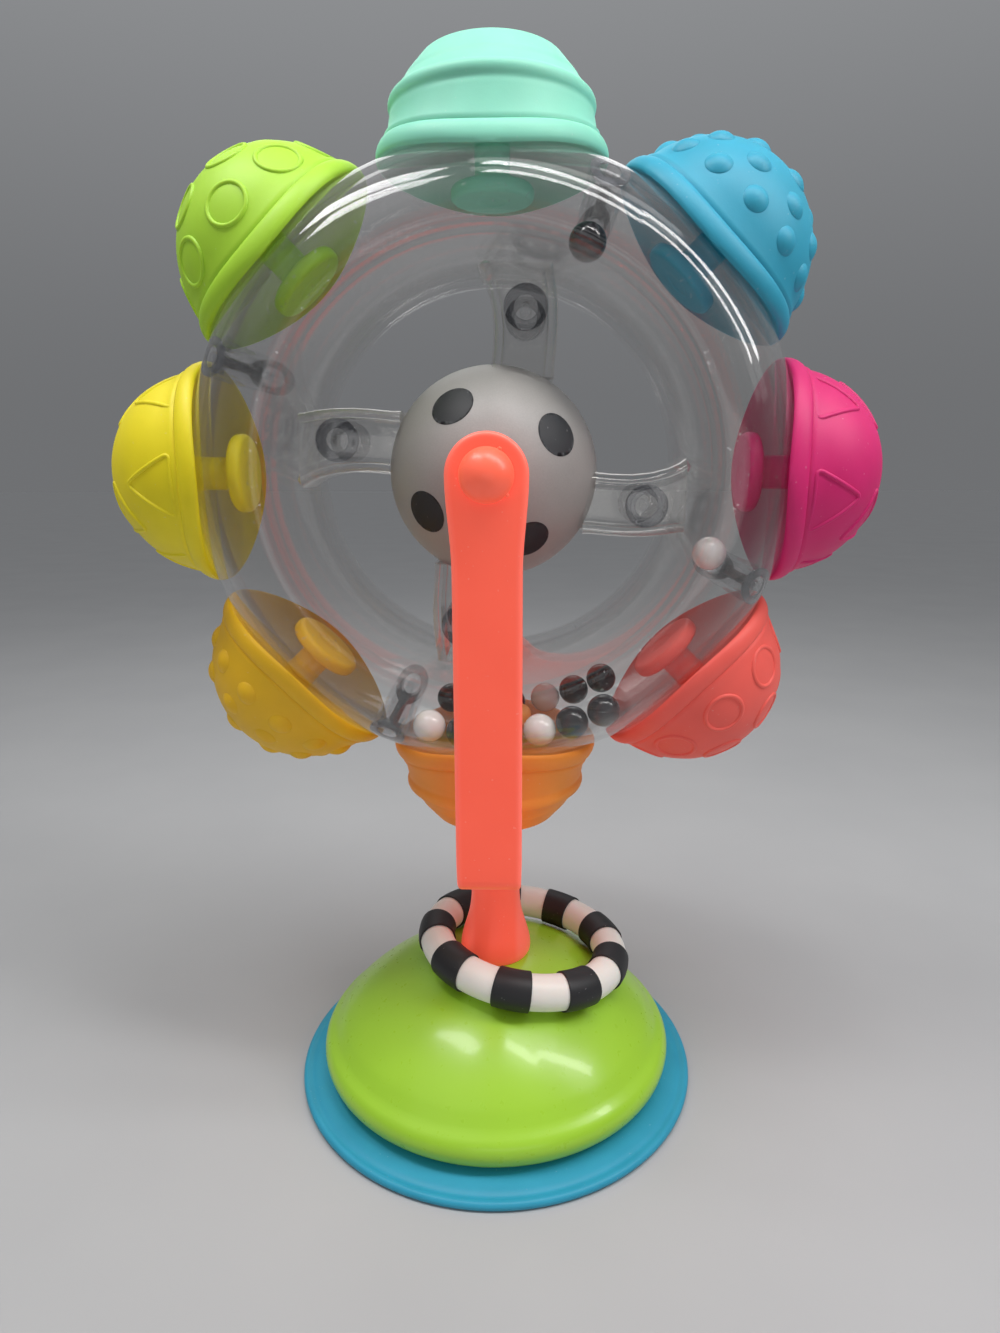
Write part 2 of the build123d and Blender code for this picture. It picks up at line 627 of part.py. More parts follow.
def boss_circles(place, radius):
    """Draw a circle at each rim boss or each spoke boss."""
    if place == "rim":
        centres = [(RIM_BOSS_CIRCLE, angle) for angle in RIM_BOSS_ANGLES]
    else:
        boss_reach = math.hypot(SPOKE_BOSS_PLACE, SPOKE_BOSS_SET)
        boss_turn = -math.degrees(math.atan2(SPOKE_BOSS_SET, SPOKE_BOSS_PLACE))
        centres = [(boss_reach, boss_turn + 360 / SPOKE_COUNT * i) for i in range(SPOKE_COUNT)]
    for reach, angle in centres:
        turn = math.radians(angle)
        with Locations((reach * math.cos(turn), reach * math.sin(turn))):
            Circle(radius)


with BuildPart() as ring_envelope:
    add(ring_outline(0))
    revolve(axis=WHEEL_AXIS)

spoke_solid = spoke_bar(0, RING_HOLE_RADIUS + RING_WALL / 2)
spoke_hollow = spoke_bar(SPOKE_WALL, RING_HOLE_RADIUS)
spoke_turns = [360 / SPOKE_COUNT * i for i in range(SPOKE_COUNT)]
with BuildPart() as wheel_blank:
    for spoke_turn in spoke_turns:
        add(spoke_solid.rotate(WHEEL_AXIS, spoke_turn))
        add(spoke_hollow.rotate(WHEEL_AXIS, spoke_turn), mode=Mode.SUBTRACT)
    with BuildSketch(WHEEL_FRONT.offset(HUB_DISC_HALF)):
        Circle(HUB_DISC_RADIUS)
    extrude(amount=-2 * HUB_DISC_HALF)
    with BuildSketch(WHEEL_FRONT.offset(HUB_DISC_HALF)):
        Circle(HUB_DISC_BORE)
    extrude(amount=-2 * HUB_DISC_HALF, mode=Mode.SUBTRACT)
    add(ring_envelope.part)
    add(ring_outline(RING_WALL))
    revolve(axis=WHEEL_AXIS, mode=Mode.SUBTRACT)
    for _, angle, _, _ in DOMES:
        with BuildSketch(radial_plane(angle, PUCK_OUTER)):
            Circle(STEM_RADIUS + RUNNING_GAP)
        extrude(amount=RING_OUTER_RADIUS - PUCK_OUTER + 1, mode=Mode.SUBTRACT)

with BuildPart() as boss_blank:
    with BuildSketch(WHEEL_FRONT.offset(RING_HALF_WIDTH)):
        boss_circles("rim", RIM_BOSS_RADIUS)
    extrude(amount=-2 * RING_HALF_WIDTH)
    add(ring_envelope.part, mode=Mode.INTERSECT)
    with BuildSketch(WHEEL_FRONT.offset(SPOKE_HALF_DEPTH - SPOKE_WALL / 2)):
        boss_circles("spoke", SPOKE_BOSS_RADIUS)
    extrude(amount=-2 * SPOKE_HALF_DEPTH + SPOKE_WALL)

for name, side in WHEEL_SIDES.items():
    with BuildPart() as wheel_shell:
        add(wheel_blank.part)
        add(boss_blank.part)
        with BuildSketch(WHEEL_FRONT):
            Rectangle(HALF_SPACE, HALF_SPACE)
        extrude(amount=side * HALF_SPACE, mode=Mode.SUBTRACT)
        with BuildSketch(WHEEL_FRONT):
            if name == "front":
                boss_circles("rim", RIM_PIN_RADIUS + RUNNING_GAP)
                boss_circles("spoke", SPOKE_PIN_RADIUS + RUNNING_GAP)
            else:
                boss_circles("rim", RIM_PIN_RADIUS)
                boss_circles("spoke", SPOKE_PIN_RADIUS)
        if name == "front":
            extrude(amount=BOSS_PIN_LENGTH + SEAT_GAP, mode=Mode.SUBTRACT)
        else:
            extrude(amount=BOSS_PIN_LENGTH)
    save(wheel_shell, f"wheel_{name}_shell")


# Soft domes: hollow caps whose rims follow the ring, each with a stem through its wall
def saddle(rise):
    """Build a solid bounded by the ring's outer surface, raised along the radius."""
    with BuildPart() as body:
        with BuildSketch(Plane.YZ):
            with BuildLine():
                EllipticalCenterArc(
                    (0, RING_FACE_RADIUS + rise),
                    RING_HALF_WIDTH,
                    RING_OUTER_RADIUS - RING_FACE_RADIUS,
                    start_angle=0,
                    arc_size=180,
                )
                Polyline(
                    (-RING_HALF_WIDTH, RING_FACE_RADIUS + rise),
                    (-RING_HALF_WIDTH, HUB_RADIUS),
                    (RING_HALF_WIDTH, HUB_RADIUS),
                    (RING_HALF_WIDTH, RING_FACE_RADIUS + rise),
                )
            make_face()
        revolve(axis=Axis.Y)
    return body.part


def cap_plane(polar, turn, height):
    """Plane on a cap's sphere, square to its surface, at an angle from the tip."""
    polar, turn = math.radians(polar), math.radians(turn)
    outward = (math.sin(polar) * math.cos(turn), math.sin(polar) * math.sin(turn), math.cos(polar))
    along = (math.cos(polar) * math.cos(turn), math.cos(polar) * math.sin(turn), -math.sin(polar))
    return Plane(origin=(0, 0, DOME_CENTRE), x_dir=along, z_dir=outward).offset(height)


def places_in(rings):
    """List places on a cap from rings of (count, angle from the tip, first turn)."""
    return [(polar, start + 360 / count * i) for count, polar, start in rings for i in range(count)]


def circle_relief():
    """Build thin raised circles in two staggered rings and one at the tip."""
    with BuildPart() as relief:
        for polar, turn in places_in(CIRCLE_RINGS):
            with BuildSketch(cap_plane(polar, turn, DOME_RADIUS - DOME_WALL)):
                Circle(CIRCLE_RADIUS)
                Circle(CIRCLE_RADIUS - RELIEF_LINE, mode=Mode.SUBTRACT)
            extrude(amount=2 * DOME_WALL)
        with Locations((0, 0, DOME_CENTRE)):
            Sphere(DOME_RADIUS + RELIEF_HEIGHT, rotation=(0, 0, CIRCLE_SEAM), mode=Mode.INTERSECT)
    return relief.part


def triangle_relief():
    """Build thin raised triangles, a ring that points to the tip and three that point away."""
    with BuildPart() as relief:
        for ring, own_turn in zip(TRIANGLE_RINGS, TRIANGLE_OWN_TURNS):
            for polar, turn in places_in((ring,)):
                with BuildSketch(cap_plane(polar, turn, DOME_RADIUS - DOME_WALL)) as panel:
                    with Locations(Rotation(0, 0, own_turn)):
                        RegularPolygon(TRIANGLE_SIDE / math.sqrt(3), 3)
                    fillet(panel.vertices(), TRIANGLE_ROUND)
                    offset(amount=-RELIEF_LINE, mode=Mode.SUBTRACT)
                extrude(amount=2 * DOME_WALL)
        with Locations((0, 0, DOME_CENTRE)):
            Sphere(DOME_RADIUS + RELIEF_HEIGHT, mode=Mode.INTERSECT)
    return relief.part


def bump_relief():
    """Build round bumps in three staggered rings and one at the tip."""
    sunk = DOME_RADIUS + BUMP_PROUD - BUMP_RADIUS
    with BuildPart() as relief:
        for polar, turn in places_in(BUMP_RINGS):
            with Locations(cap_plane(polar, turn, sunk)):
                Sphere(BUMP_RADIUS)
    return relief.part


saddle_under = saddle(SEAT_GAP)
saddle_floor = saddle(SEAT_GAP + DOME_FLOOR)
saddle_rim = saddle(SEAT_GAP + DOME_RIM_HEIGHT)
RELIEFS = {"circles": circle_relief, "triangles": triangle_relief, "bumps": bump_relief}

with BuildPart() as cap_hollow:
    with Locations((0, 0, DOME_CENTRE)):
        Sphere(DOME_RADIUS - DOME_WALL)
    with BuildSketch(Plane.XY.offset(RING_FACE_RADIUS)):
        Circle(DOME_RADIUS - DOME_WALL)
    extrude(amount=DOME_CENTRE - RING_FACE_RADIUS)
    add(saddle_floor, mode=Mode.SUBTRACT)

band_corners = [(DOME_RADIUS, DOME_CENTRE)]
for inward, upward in BAND_STEPS:
    band_corners.append((band_corners[-1][0] - inward, band_corners[-1][1] + upward))
crown_radius, crown_height = band_corners[-1]
crown_middle = crown_height + cap_height(crown_radius, BAND_CROWN_RISE, crown_radius / 2)


def soft_dome(pattern, relief_turn):
    """Build one dome with its tip along +Z and the wheel's centre at the origin."""
    with BuildPart() as dome:
        with BuildSketch(Plane.XY.offset(RING_FACE_RADIUS)):
            Circle(DOME_RIM_RADIUS)
        extrude(amount=RING_OUTER_RADIUS - RING_FACE_RADIUS + 2 * DOME_RIM_HEIGHT)
        add(saddle_rim, mode=Mode.INTERSECT)
        rim_edge = dome.edges().sort_by(Axis.Z).filter_by(GeomType.LINE, reverse=True)
        fillet(rim_edge[-1], DOME_RIM_ROUND)
        if pattern == "bands":
            with BuildSketch(Plane.XZ) as band_section:
                with BuildLine():
                    Polyline(
                        (0, RING_FACE_RADIUS),
                        (DOME_RADIUS, RING_FACE_RADIUS),
                        (DOME_RADIUS, DOME_CENTRE - BAND_FOOT_DROP),
                        *band_corners[1:],
                    )
                    ThreePointArc(
                        (crown_radius, crown_height),
                        (crown_radius / 2, crown_middle),
                        (0, crown_height + BAND_CROWN_RISE),
                    )
                    Line((0, crown_height + BAND_CROWN_RISE), (0, RING_FACE_RADIUS))
                make_face()
                ledges = band_section.vertices().filter_by_position(
                    Axis.Y, DOME_CENTRE, crown_height + SNUG_GAP
                )
                fillet(ledges, BAND_ROUND)
            revolve(axis=Axis.Z)
        else:
            with Locations((0, 0, DOME_CENTRE)):
                Sphere(DOME_RADIUS, rotation=(0, 0, CIRCLE_SEAM))
            with BuildSketch(Plane.XY.offset(RING_FACE_RADIUS)):
                Circle(DOME_RADIUS)
            extrude(amount=DOME_CENTRE - RING_FACE_RADIUS)
            add(RELIEFS[pattern]().rotate(Axis.Z, relief_turn))
        add(cap_hollow.part, mode=Mode.SUBTRACT)
        add(saddle_under, mode=Mode.SUBTRACT)
        with BuildSketch(Plane.XY.offset(RING_FACE_RADIUS)):
            with Locations((VENT_PLACE, 0)):
                Circle(VENT_RADIUS)
        extrude(amount=DOME_CENTRE + DOME_FLOOR - RING_FACE_RADIUS + RING_WALL, mode=Mode.SUBTRACT)
        with BuildSketch(Plane.XY.offset(PUCK_OUTER - STEM_SOCKET_DEPTH)):
            Circle(STEM_RADIUS)
        extrude(amount=RING_OUTER_RADIUS + DOME_FLOOR + SEAT_GAP - PUCK_OUTER + STEM_SOCKET_DEPTH)
    return dome.part


for name, angle, pattern, relief_turn in DOMES:
    with BuildPart() as placed_dome:
        with Locations(radial_plane(angle)):
            add(soft_dome(pattern, relief_turn))
    save(placed_dome, name)

    with BuildPart() as puck:
        with BuildSketch(radial_plane(angle, PUCK_INNER)):
            Circle(PUCK_RADIUS)
        extrude(amount=PUCK_THICKNESS)
        fillet(puck.edges(), PUCK_ROUND)
        with BuildSketch(radial_plane(angle, PUCK_OUTER - STEM_SOCKET_DEPTH)):
            Circle(STEM_RADIUS + SNUG_GAP)
        extrude(amount=STEM_SOCKET_DEPTH, mode=Mode.SUBTRACT)
    save(puck, name.replace("dome", "plug"))


# Beads: two rows that lie in the tube in front of and behind the plugs, and two apart
def bead_group(rows, colour):
    """Build every bead of one colour in the rows."""
    with BuildPart() as beads:
        for depth, row in rows:
            for angle, bead_colour in row:
                if bead_colour == colour:
                    with Locations(on_wheel(BEAD_CIRCLE, angle, depth)):
                        Sphere(BEAD_RADIUS)
    return beads


bead_rows = ((-BEAD_ROW, FRONT_ROW), (BEAD_ROW, REAR_ROW))
for colour in ("black", "white"):
    save(bead_group(bead_rows, colour), f"{colour}_beads")

with BuildPart() as boss_bead:
    with Locations(on_wheel(BOSS_BEAD_CIRCLE, BOSS_BEAD_ANGLE, -BOSS_BEAD_DEPTH)):
        Sphere(BEAD_RADIUS)
save(boss_bead, "white_bead_on_boss")

with BuildPart() as wall_bead:
    with Locations(on_wheel(WALL_BEAD_CIRCLE, WALL_BEAD_ANGLE, -WALL_BEAD_DEPTH)):
        Sphere(BEAD_RADIUS)
save(wall_bead, "black_bead_on_wall")

# Teether ring: a white core with black sleeves, leaning on the base shell
rest_radius = DOME_SPHERE_RADIUS + TEETHER_TUBE_RADIUS + SLEEVE_THICKNESS + SEAT_GAP
rest_reach = math.sqrt(rest_radius**2 - TEETHER_RADIUS**2)
lean = Vector(TEETHER_SET_X, TEETHER_SET_Y, 0)
lean_axis = Vector(lean.X, lean.Y, math.sqrt(rest_reach**2 - lean.length**2)).normalized()
teether_centre = Vector(0, 0, DOME_SPHERE_CENTRE) + lean_axis * rest_reach
teether_axis = Axis(teether_centre, lean_axis)
teether_plane = Plane(origin=teether_centre, z_dir=lean_axis)


def teether_section(turn):
    """Plane through the ring's axis, with its own +X along a radius of the ring."""
    radial = teether_plane.x_dir.rotate(Axis((0, 0, 0), lean_axis), turn)
    return Plane(origin=teether_centre, x_dir=radial, z_dir=radial.cross(lean_axis))


with BuildPart() as teether_core:
    with BuildSketch(teether_section(0)):
        with Locations((TEETHER_RADIUS, 0)):
            Circle(TEETHER_TUBE_RADIUS)
    revolve(axis=teether_axis)
save(teether_core, "teether_ring_core")

with BuildPart() as teether_sleeves:
    for i in range(SLEEVE_COUNT):
        with BuildSketch(teether_section(SLEEVE_TURN + 360 / SLEEVE_COUNT * i)):
            with Locations((TEETHER_RADIUS, 0)):
                Circle(TEETHER_TUBE_RADIUS + SLEEVE_THICKNESS)
                Circle(TEETHER_TUBE_RADIUS + SNUG_GAP, mode=Mode.SUBTRACT)
        revolve(axis=teether_axis, revolution_arc=SLEEVE_ARC)
save(teether_sleeves, "teether_ring_sleeves")
print("teether ring centre", teether_centre, "axis", lean_axis)
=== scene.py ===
"""High chair tray toy, dressed and lit: a clear bead wheel in a fork on a suction base.

Every size in the classes is in millimetres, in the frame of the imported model: +Z up,
+X to the right and +Y away from the viewer, with the origin under the suction cup.
"""

from __future__ import annotations

import logging
import math
from collections.abc import Callable, Iterable, Sequence
from dataclasses import dataclass
from enum import Enum

import bpy
from mathutils import Matrix, Vector


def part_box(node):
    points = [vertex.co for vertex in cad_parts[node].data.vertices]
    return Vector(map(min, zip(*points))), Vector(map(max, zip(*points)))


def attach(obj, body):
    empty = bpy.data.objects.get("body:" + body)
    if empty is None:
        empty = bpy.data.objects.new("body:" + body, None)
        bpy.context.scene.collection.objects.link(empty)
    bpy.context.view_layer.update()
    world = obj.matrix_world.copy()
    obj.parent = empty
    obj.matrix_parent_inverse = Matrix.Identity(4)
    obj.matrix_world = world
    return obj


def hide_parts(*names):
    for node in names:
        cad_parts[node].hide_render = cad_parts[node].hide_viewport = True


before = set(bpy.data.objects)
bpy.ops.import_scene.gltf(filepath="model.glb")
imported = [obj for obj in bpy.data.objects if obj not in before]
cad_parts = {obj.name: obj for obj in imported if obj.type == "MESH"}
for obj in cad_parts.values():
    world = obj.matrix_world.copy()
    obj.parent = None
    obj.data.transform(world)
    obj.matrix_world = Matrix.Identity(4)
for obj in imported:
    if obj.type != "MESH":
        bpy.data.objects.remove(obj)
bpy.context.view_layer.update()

MM = 0.001
POLE = 0.002
AXLE = Vector((0.0, 0.0, 143.0))

log = logging.getLogger("tray_toy")

Piece = bpy.types.Object
Profile = Sequence[tuple[float, float]]
Colour = tuple[float, float, float]
Ring = tuple[int, float, float]
Seat = Callable[[float, float, float], float]


def from_screen(hex_code: str) -> Colour:
    """Turn a screen colour such as "A4D13A" into linear red, green and blue."""
    parts = [int(hex_code[i : i + 2], 16) / 255 for i in (0, 2, 4)]
    red, green, blue = (
        part / 12.92 if part <= 0.04045 else ((part + 0.055) / 1.055) ** 2.4 for part in parts
    )
    return red, green, blue


def tint(colour: Colour, gain: float, lift: float = 0.0) -> Colour:
    """Scale and lift a colour, up to full white."""
    red, green, blue = (min(1.0, part * gain + lift) for part in colour)
    return red, green, blue


class Wave:
    """A number on its way through a material, worked on with plain arithmetic."""

    def __init__(self, tree: ShaderBench, socket: bpy.types.NodeSocket) -> None:
        """Wrap one output socket.

        Args:
            tree: The bench that owns the material's nodes.
            socket: The output that carries the number.
        """
        self.tree = tree
        self.socket = socket

    def _math(self, operation: str, first: Wave | float, second: Wave | float) -> Wave:
        """Add one Math node and return its result."""
        return self.tree.node("Math", {"operation": operation}, {0: first, 1: second})

    def __add__(self, other: Wave | float) -> Wave:
        """Add a number."""
        return self._math("ADD", self, other)

    def __radd__(self, other: float) -> Wave:
        """Add to a number."""
        return self._math("ADD", other, self)

    def __sub__(self, other: Wave | float) -> Wave:
        """Take a number away."""
        return self._math("SUBTRACT", self, other)

    def __rsub__(self, other: float) -> Wave:
        """Take this away from a number."""
        return self._math("SUBTRACT", other, self)

    def __mul__(self, other: Wave | float) -> Wave:
        """Multiply by a number."""
        return self._math("MULTIPLY", self, other)

    def __rmul__(self, other: float) -> Wave:
        """Multiply a number."""
        return self._math("MULTIPLY", other, self)

    def __pow__(self, other: float) -> Wave:
        """Raise to a power."""
        return self._math("POWER", self, other)

    def __gt__(self, other: float) -> Wave:
        """Give one where this is greater, and zero elsewhere."""
        return self._math("GREATER_THAN", self, other)

    def __abs__(self) -> Wave:
        """Drop the sign."""
        return self._math("ABSOLUTE", self, 0.0)

    def ramp(self, low: float, high: float) -> Wave:
        """Rise softly from zero at one value to one at another."""
        return self.tree.node(
            "MapRange",
            {"interpolation_type": "SMOOTHSTEP"},
            {"Value": self, "From Min": low, "From Max": high},
        )


class ShaderBench:
    """A new material and the one method that adds nodes to it."""

    def __init__(self, name: str) -> None:
        """Start an empty material with an output."""
        self.material = bpy.data.materials.new(f"{name}_finish")
        self.material.use_nodes = True
        self.nodes = self.material.node_tree.nodes
        self.links = self.material.node_tree.links
        self.nodes.clear()
        self.output = self.nodes.new("ShaderNodeOutputMaterial")

    def node(
        self,
        kind: str,
        settings: dict[str, object] | None = None,
        inputs: dict[str | int, object] | None = None,
        out: str | int = 0,
    ) -> Wave:
        """Add a node.

        Args:
            kind: The node's type, without Blender's common prefix.
            settings: Properties of the node, set before its sockets.
            inputs: Values or links for its sockets, by name or number.
            out: The output that the caller wants.

        Returns:
            The wanted output, ready for arithmetic.
        """
        made = self.nodes.new(f"ShaderNode{kind}")
        for key, value in (settings or {}).items():
            setattr(made, key, value)
        for key, value in (inputs or {}).items():
            self.feed(made.inputs[key], value)
        return Wave(self, made.outputs[out])

    def feed(self, socket: bpy.types.NodeSocket, value: object) -> None:
        """Link a wave to a socket, or set the socket's own value."""
        if isinstance(value, Wave):
            self.links.new(value.socket, socket)
        elif isinstance(value, tuple) and len(value) == 3 and socket.type == "RGBA":
            socket.default_value = (*value, 1.0)
        else:
            socket.default_value = value

    def place(self) -> Wave:
        """Return the piece's own coordinates."""
        return self.node("TexCoord", out="Object")

    def noise(self, size_mm: float, detail: float = 3.0, out: str = "Fac") -> Wave:
        """Return a cloudy pattern with features of about one size."""
        return self.node(
            "TexNoise",
            inputs={"Vector": self.place(), "Scale": 1 / (size_mm * MM), "Detail": detail},
            out=out,
        )

    def blend(self, share: Wave | float, first: object, second: object) -> Wave:
        """Mix two colours by a share."""
        mixed = self.nodes.new("ShaderNodeMix")
        mixed.data_type = "RGBA"
        for socket, value in zip(
            (mixed.inputs["Factor"], mixed.inputs[6], mixed.inputs[7]), (share, first, second)
        ):
            self.feed(socket, value)
        return Wave(self, mixed.outputs[2])

    def bump(self, height: Wave, depth_mm: float, strength: float = 1.0) -> Wave:
        """Return a normal bent by a height pattern."""
        return self.node(
            "Bump",
            inputs={"Height": height, "Distance": depth_mm * MM, "Strength": strength},
        )

    def main_shader(self, **sockets: object) -> Wave:
        """Add the main shader, with values or links by socket name, underscores for spaces."""
        named = {key.replace("_", " "): value for key, value in sockets.items()}
        return self.node("BsdfPrincipled", inputs=named)

    def surface(self, **sockets: object) -> bpy.types.Material:
        """Finish the material with the main shader alone."""
        self.feed(self.output.inputs["Surface"], self.main_shader(**sockets))
        return self.material

    def see_through(self, cover: Wave, clear: Colour, **sockets: object) -> bpy.types.Material:
        """Finish the material with the main shader over a clear one.

        Args:
            cover: Share of the main shader.
            clear: Colour that the clear shader lets through.
            sockets: The main shader's values or links.

        Returns:
            The finished material.
        """
        main = self.main_shader(**sockets)
        glass = self.node("BsdfTransparent", inputs={"Color": clear})
        mixed = self.node("MixShader", inputs={0: cover, 1: glass, 2: main})
        self.feed(self.output.inputs["Surface"], mixed)
        return self.material


@dataclass(frozen=True)
class SoftRubber:
    """Matte silicone-like skin with a very fine grain and faint mottling, and a faint painted glow
    in its own colour that lifts its shaded parts.
    """

    name: str
    colour: Colour
    roughness: float = 0.52
    grain_mm: float = 0.35
    dust_level: float = 0.765
    glow: float = 0.12
    # lift is the strength of a painted glow: emission in the skin's own colour, so shaded faces and
    # undersides read brighter than the lamps make them.
    lift: float = 0.05

    def tone(self, bench: ShaderBench, cloud: Wave) -> Wave:
        """Mottle the colour."""
        return bench.blend(cloud, tint(self.colour, 0.86), tint(self.colour, 1.06, 0.006))

    def build(self) -> bpy.types.Material:
        """Make the material."""
        bench = ShaderBench(self.name)
        cloud = bench.noise(9.0, 4.0)
        grain = bench.noise(self.grain_mm, 2.0)
        dust = bench.noise(0.8, 1.0) > self.dust_level
        dusty = tint(self.colour, 0.6, 0.3)
        return bench.surface(
            Base_Color=bench.blend(dust * 0.35, self.tone(bench, cloud), dusty),
            Roughness=self.roughness - 0.06 + 0.12 * cloud,
            Normal=bench.bump(grain, 0.02, 0.5),
            Specular_IOR_Level=0.42,
            Subsurface_Weight=self.glow,
            Subsurface_Radius=(1.0, 0.6, 0.4),
            Subsurface_Scale=0.002,
            # Painted glow: the skin emits its own colour at the lift strength, though it is no
            # lamp.
            Emission_Color=self.colour,
            Emission_Strength=self.lift,
        )


@dataclass(frozen=True)
class GlossPlastic:
    """Polished moulded plastic with a long shallow waviness and hairline scuffs."""

    name: str
    colour: Colour
    roughness: float = 0.16
    coat: float = 0.5

    def build(self) -> bpy.types.Material:
        """Make the material."""
        bench = ShaderBench(self.name)
        wave = bench.noise(14.0, 2.0)
        scuff = bench.noise(1.6, 6.0)
        return bench.surface(
            Base_Color=bench.blend(wave, self.colour, tint(self.colour, 1.05, 0.004)),
            Roughness=self.roughness + 0.10 * scuff,
            Normal=bench.bump(wave, 0.05, 0.4),
            Coat_Weight=self.coat,
            Coat_Roughness=0.08,
            Subsurface_Weight=0.06,
            Subsurface_Radius=(1.0, 0.7, 0.3),
            Subsurface_Scale=0.002,
        )


@dataclass(frozen=True)
class StrapRubber(SoftRubber):
    """Soft strap plastic with a painted highlight: a paler band along the edges of the fork's arms,
    where their rounded edges catch the light.
    """

    axle: float = 143.0
    head_half: float = 7.35
    arm_half: float = 6.3
    foot_half: float = 5.9
    shoulder: float = 126.0
    knee: float = 71.0
    foot: float = 51.0
    # Width of the painted highlight along an arm's edges, in millimetres.
    highlight_width: float = 1.5

    def tone(self, bench: ShaderBench, cloud: Wave) -> Wave:
        """Mottle the colour and paint a paler highlight along an arm's edges."""
        parts = bench.nodes.new("ShaderNodeSeparateXYZ")
        bench.feed(parts.inputs[0], bench.place())
        across, height = Wave(bench, parts.outputs[0]), Wave(bench, parts.outputs[2])
        above = bench.node("Math", {"operation": "MAXIMUM"}, {0: height - self.axle * MM, 1: 0.0})
        reach = (across * across + above * above) ** 0.5
        half = (
            self.arm_half
            + height.ramp(self.shoulder * MM, self.axle * MM) * (self.head_half - self.arm_half)
            - (1 - height.ramp(self.foot * MM, self.knee * MM)) * (self.arm_half - self.foot_half)
        )
        inside = half - reach * (1 / MM)
        # Painted highlight: the colour turns paler close to an arm's edge, standing in for light
        # caught by the rounded edges.
        edge_highlight = 1 - inside.ramp(0.1, self.highlight_width)
        return bench.blend(edge_highlight * 0.75, super().tone(bench, cloud), tint(self.colour, 0.82, 0.1))


@dataclass(frozen=True)
class ClearPlastic:
    """Clear plastic: see-through face on, shiny at its edges, with faint haze and specks."""

    name: str
    clear: Colour = (0.974, 0.972, 0.968)
    shine: Colour = (0.93, 0.93, 0.93)
    face: float = 0.032
    edge: float = 0.6
    edge_power: float = 3.3
    speck_level: float = 0.80
    speck: float = 0.16
    haze: float = 0.004
    roughness: float = 0.05

    def build(self) -> bpy.types.Material:
        """Make the material."""
        bench = ShaderBench(self.name)
        facing = bench.node("LayerWeight", inputs={"Blend": 0.5}, out="Facing")
        haze = bench.noise(7.0, 5.0)
        speck = bench.noise(0.7, 0.0) > self.speck_level
        rim = (facing**self.edge_power) * self.edge
        cover = self.face + haze * self.haze + rim + speck * self.speck
        return bench.see_through(
            cover,
            self.clear,
            Base_Color=self.shine,
            Metallic=0.9,
            Roughness=self.roughness + haze * 0.04,
        )


@dataclass(frozen=True)
class FrostedPlastic:
    """Frosted grey plastic with a sparkling fine grain."""

    name: str
    colour: Colour
    roughness: float = 0.42

    def build(self) -> bpy.types.Material:
        """Make the material."""
        bench = ShaderBench(self.name)
        grain = bench.noise(0.32, 2.0)
        cloud = bench.noise(11.0, 3.0)
        mottle = grain * 0.5 + cloud * 0.5
        return bench.surface(
            Base_Color=bench.blend(mottle, tint(self.colour, 0.8), tint(self.colour, 1.18)),
            Roughness=self.roughness - 0.1 + 0.2 * grain,
            Normal=bench.bump(grain, 0.05, 0.55),
            Subsurface_Weight=0.35,
            Subsurface_Radius=(1.0, 0.95, 0.9),
            Subsurface_Scale=0.003,
        )


@dataclass(frozen=True)
class BrushedSteel:
    """Plain screw steel with a turned grain."""

    name: str
    colour: Colour = (0.56, 0.56, 0.57)

    def build(self) -> bpy.types.Material:
        """Make the material."""
        bench = ShaderBench(self.name)
        grain = bench.noise(0.25, 3.0)
        return bench.surface(
            Base_Color=self.colour,
            Metallic=1.0,
            Roughness=0.28 + 0.14 * grain,
            Normal=bench.bump(grain, 0.01, 0.4),
        )


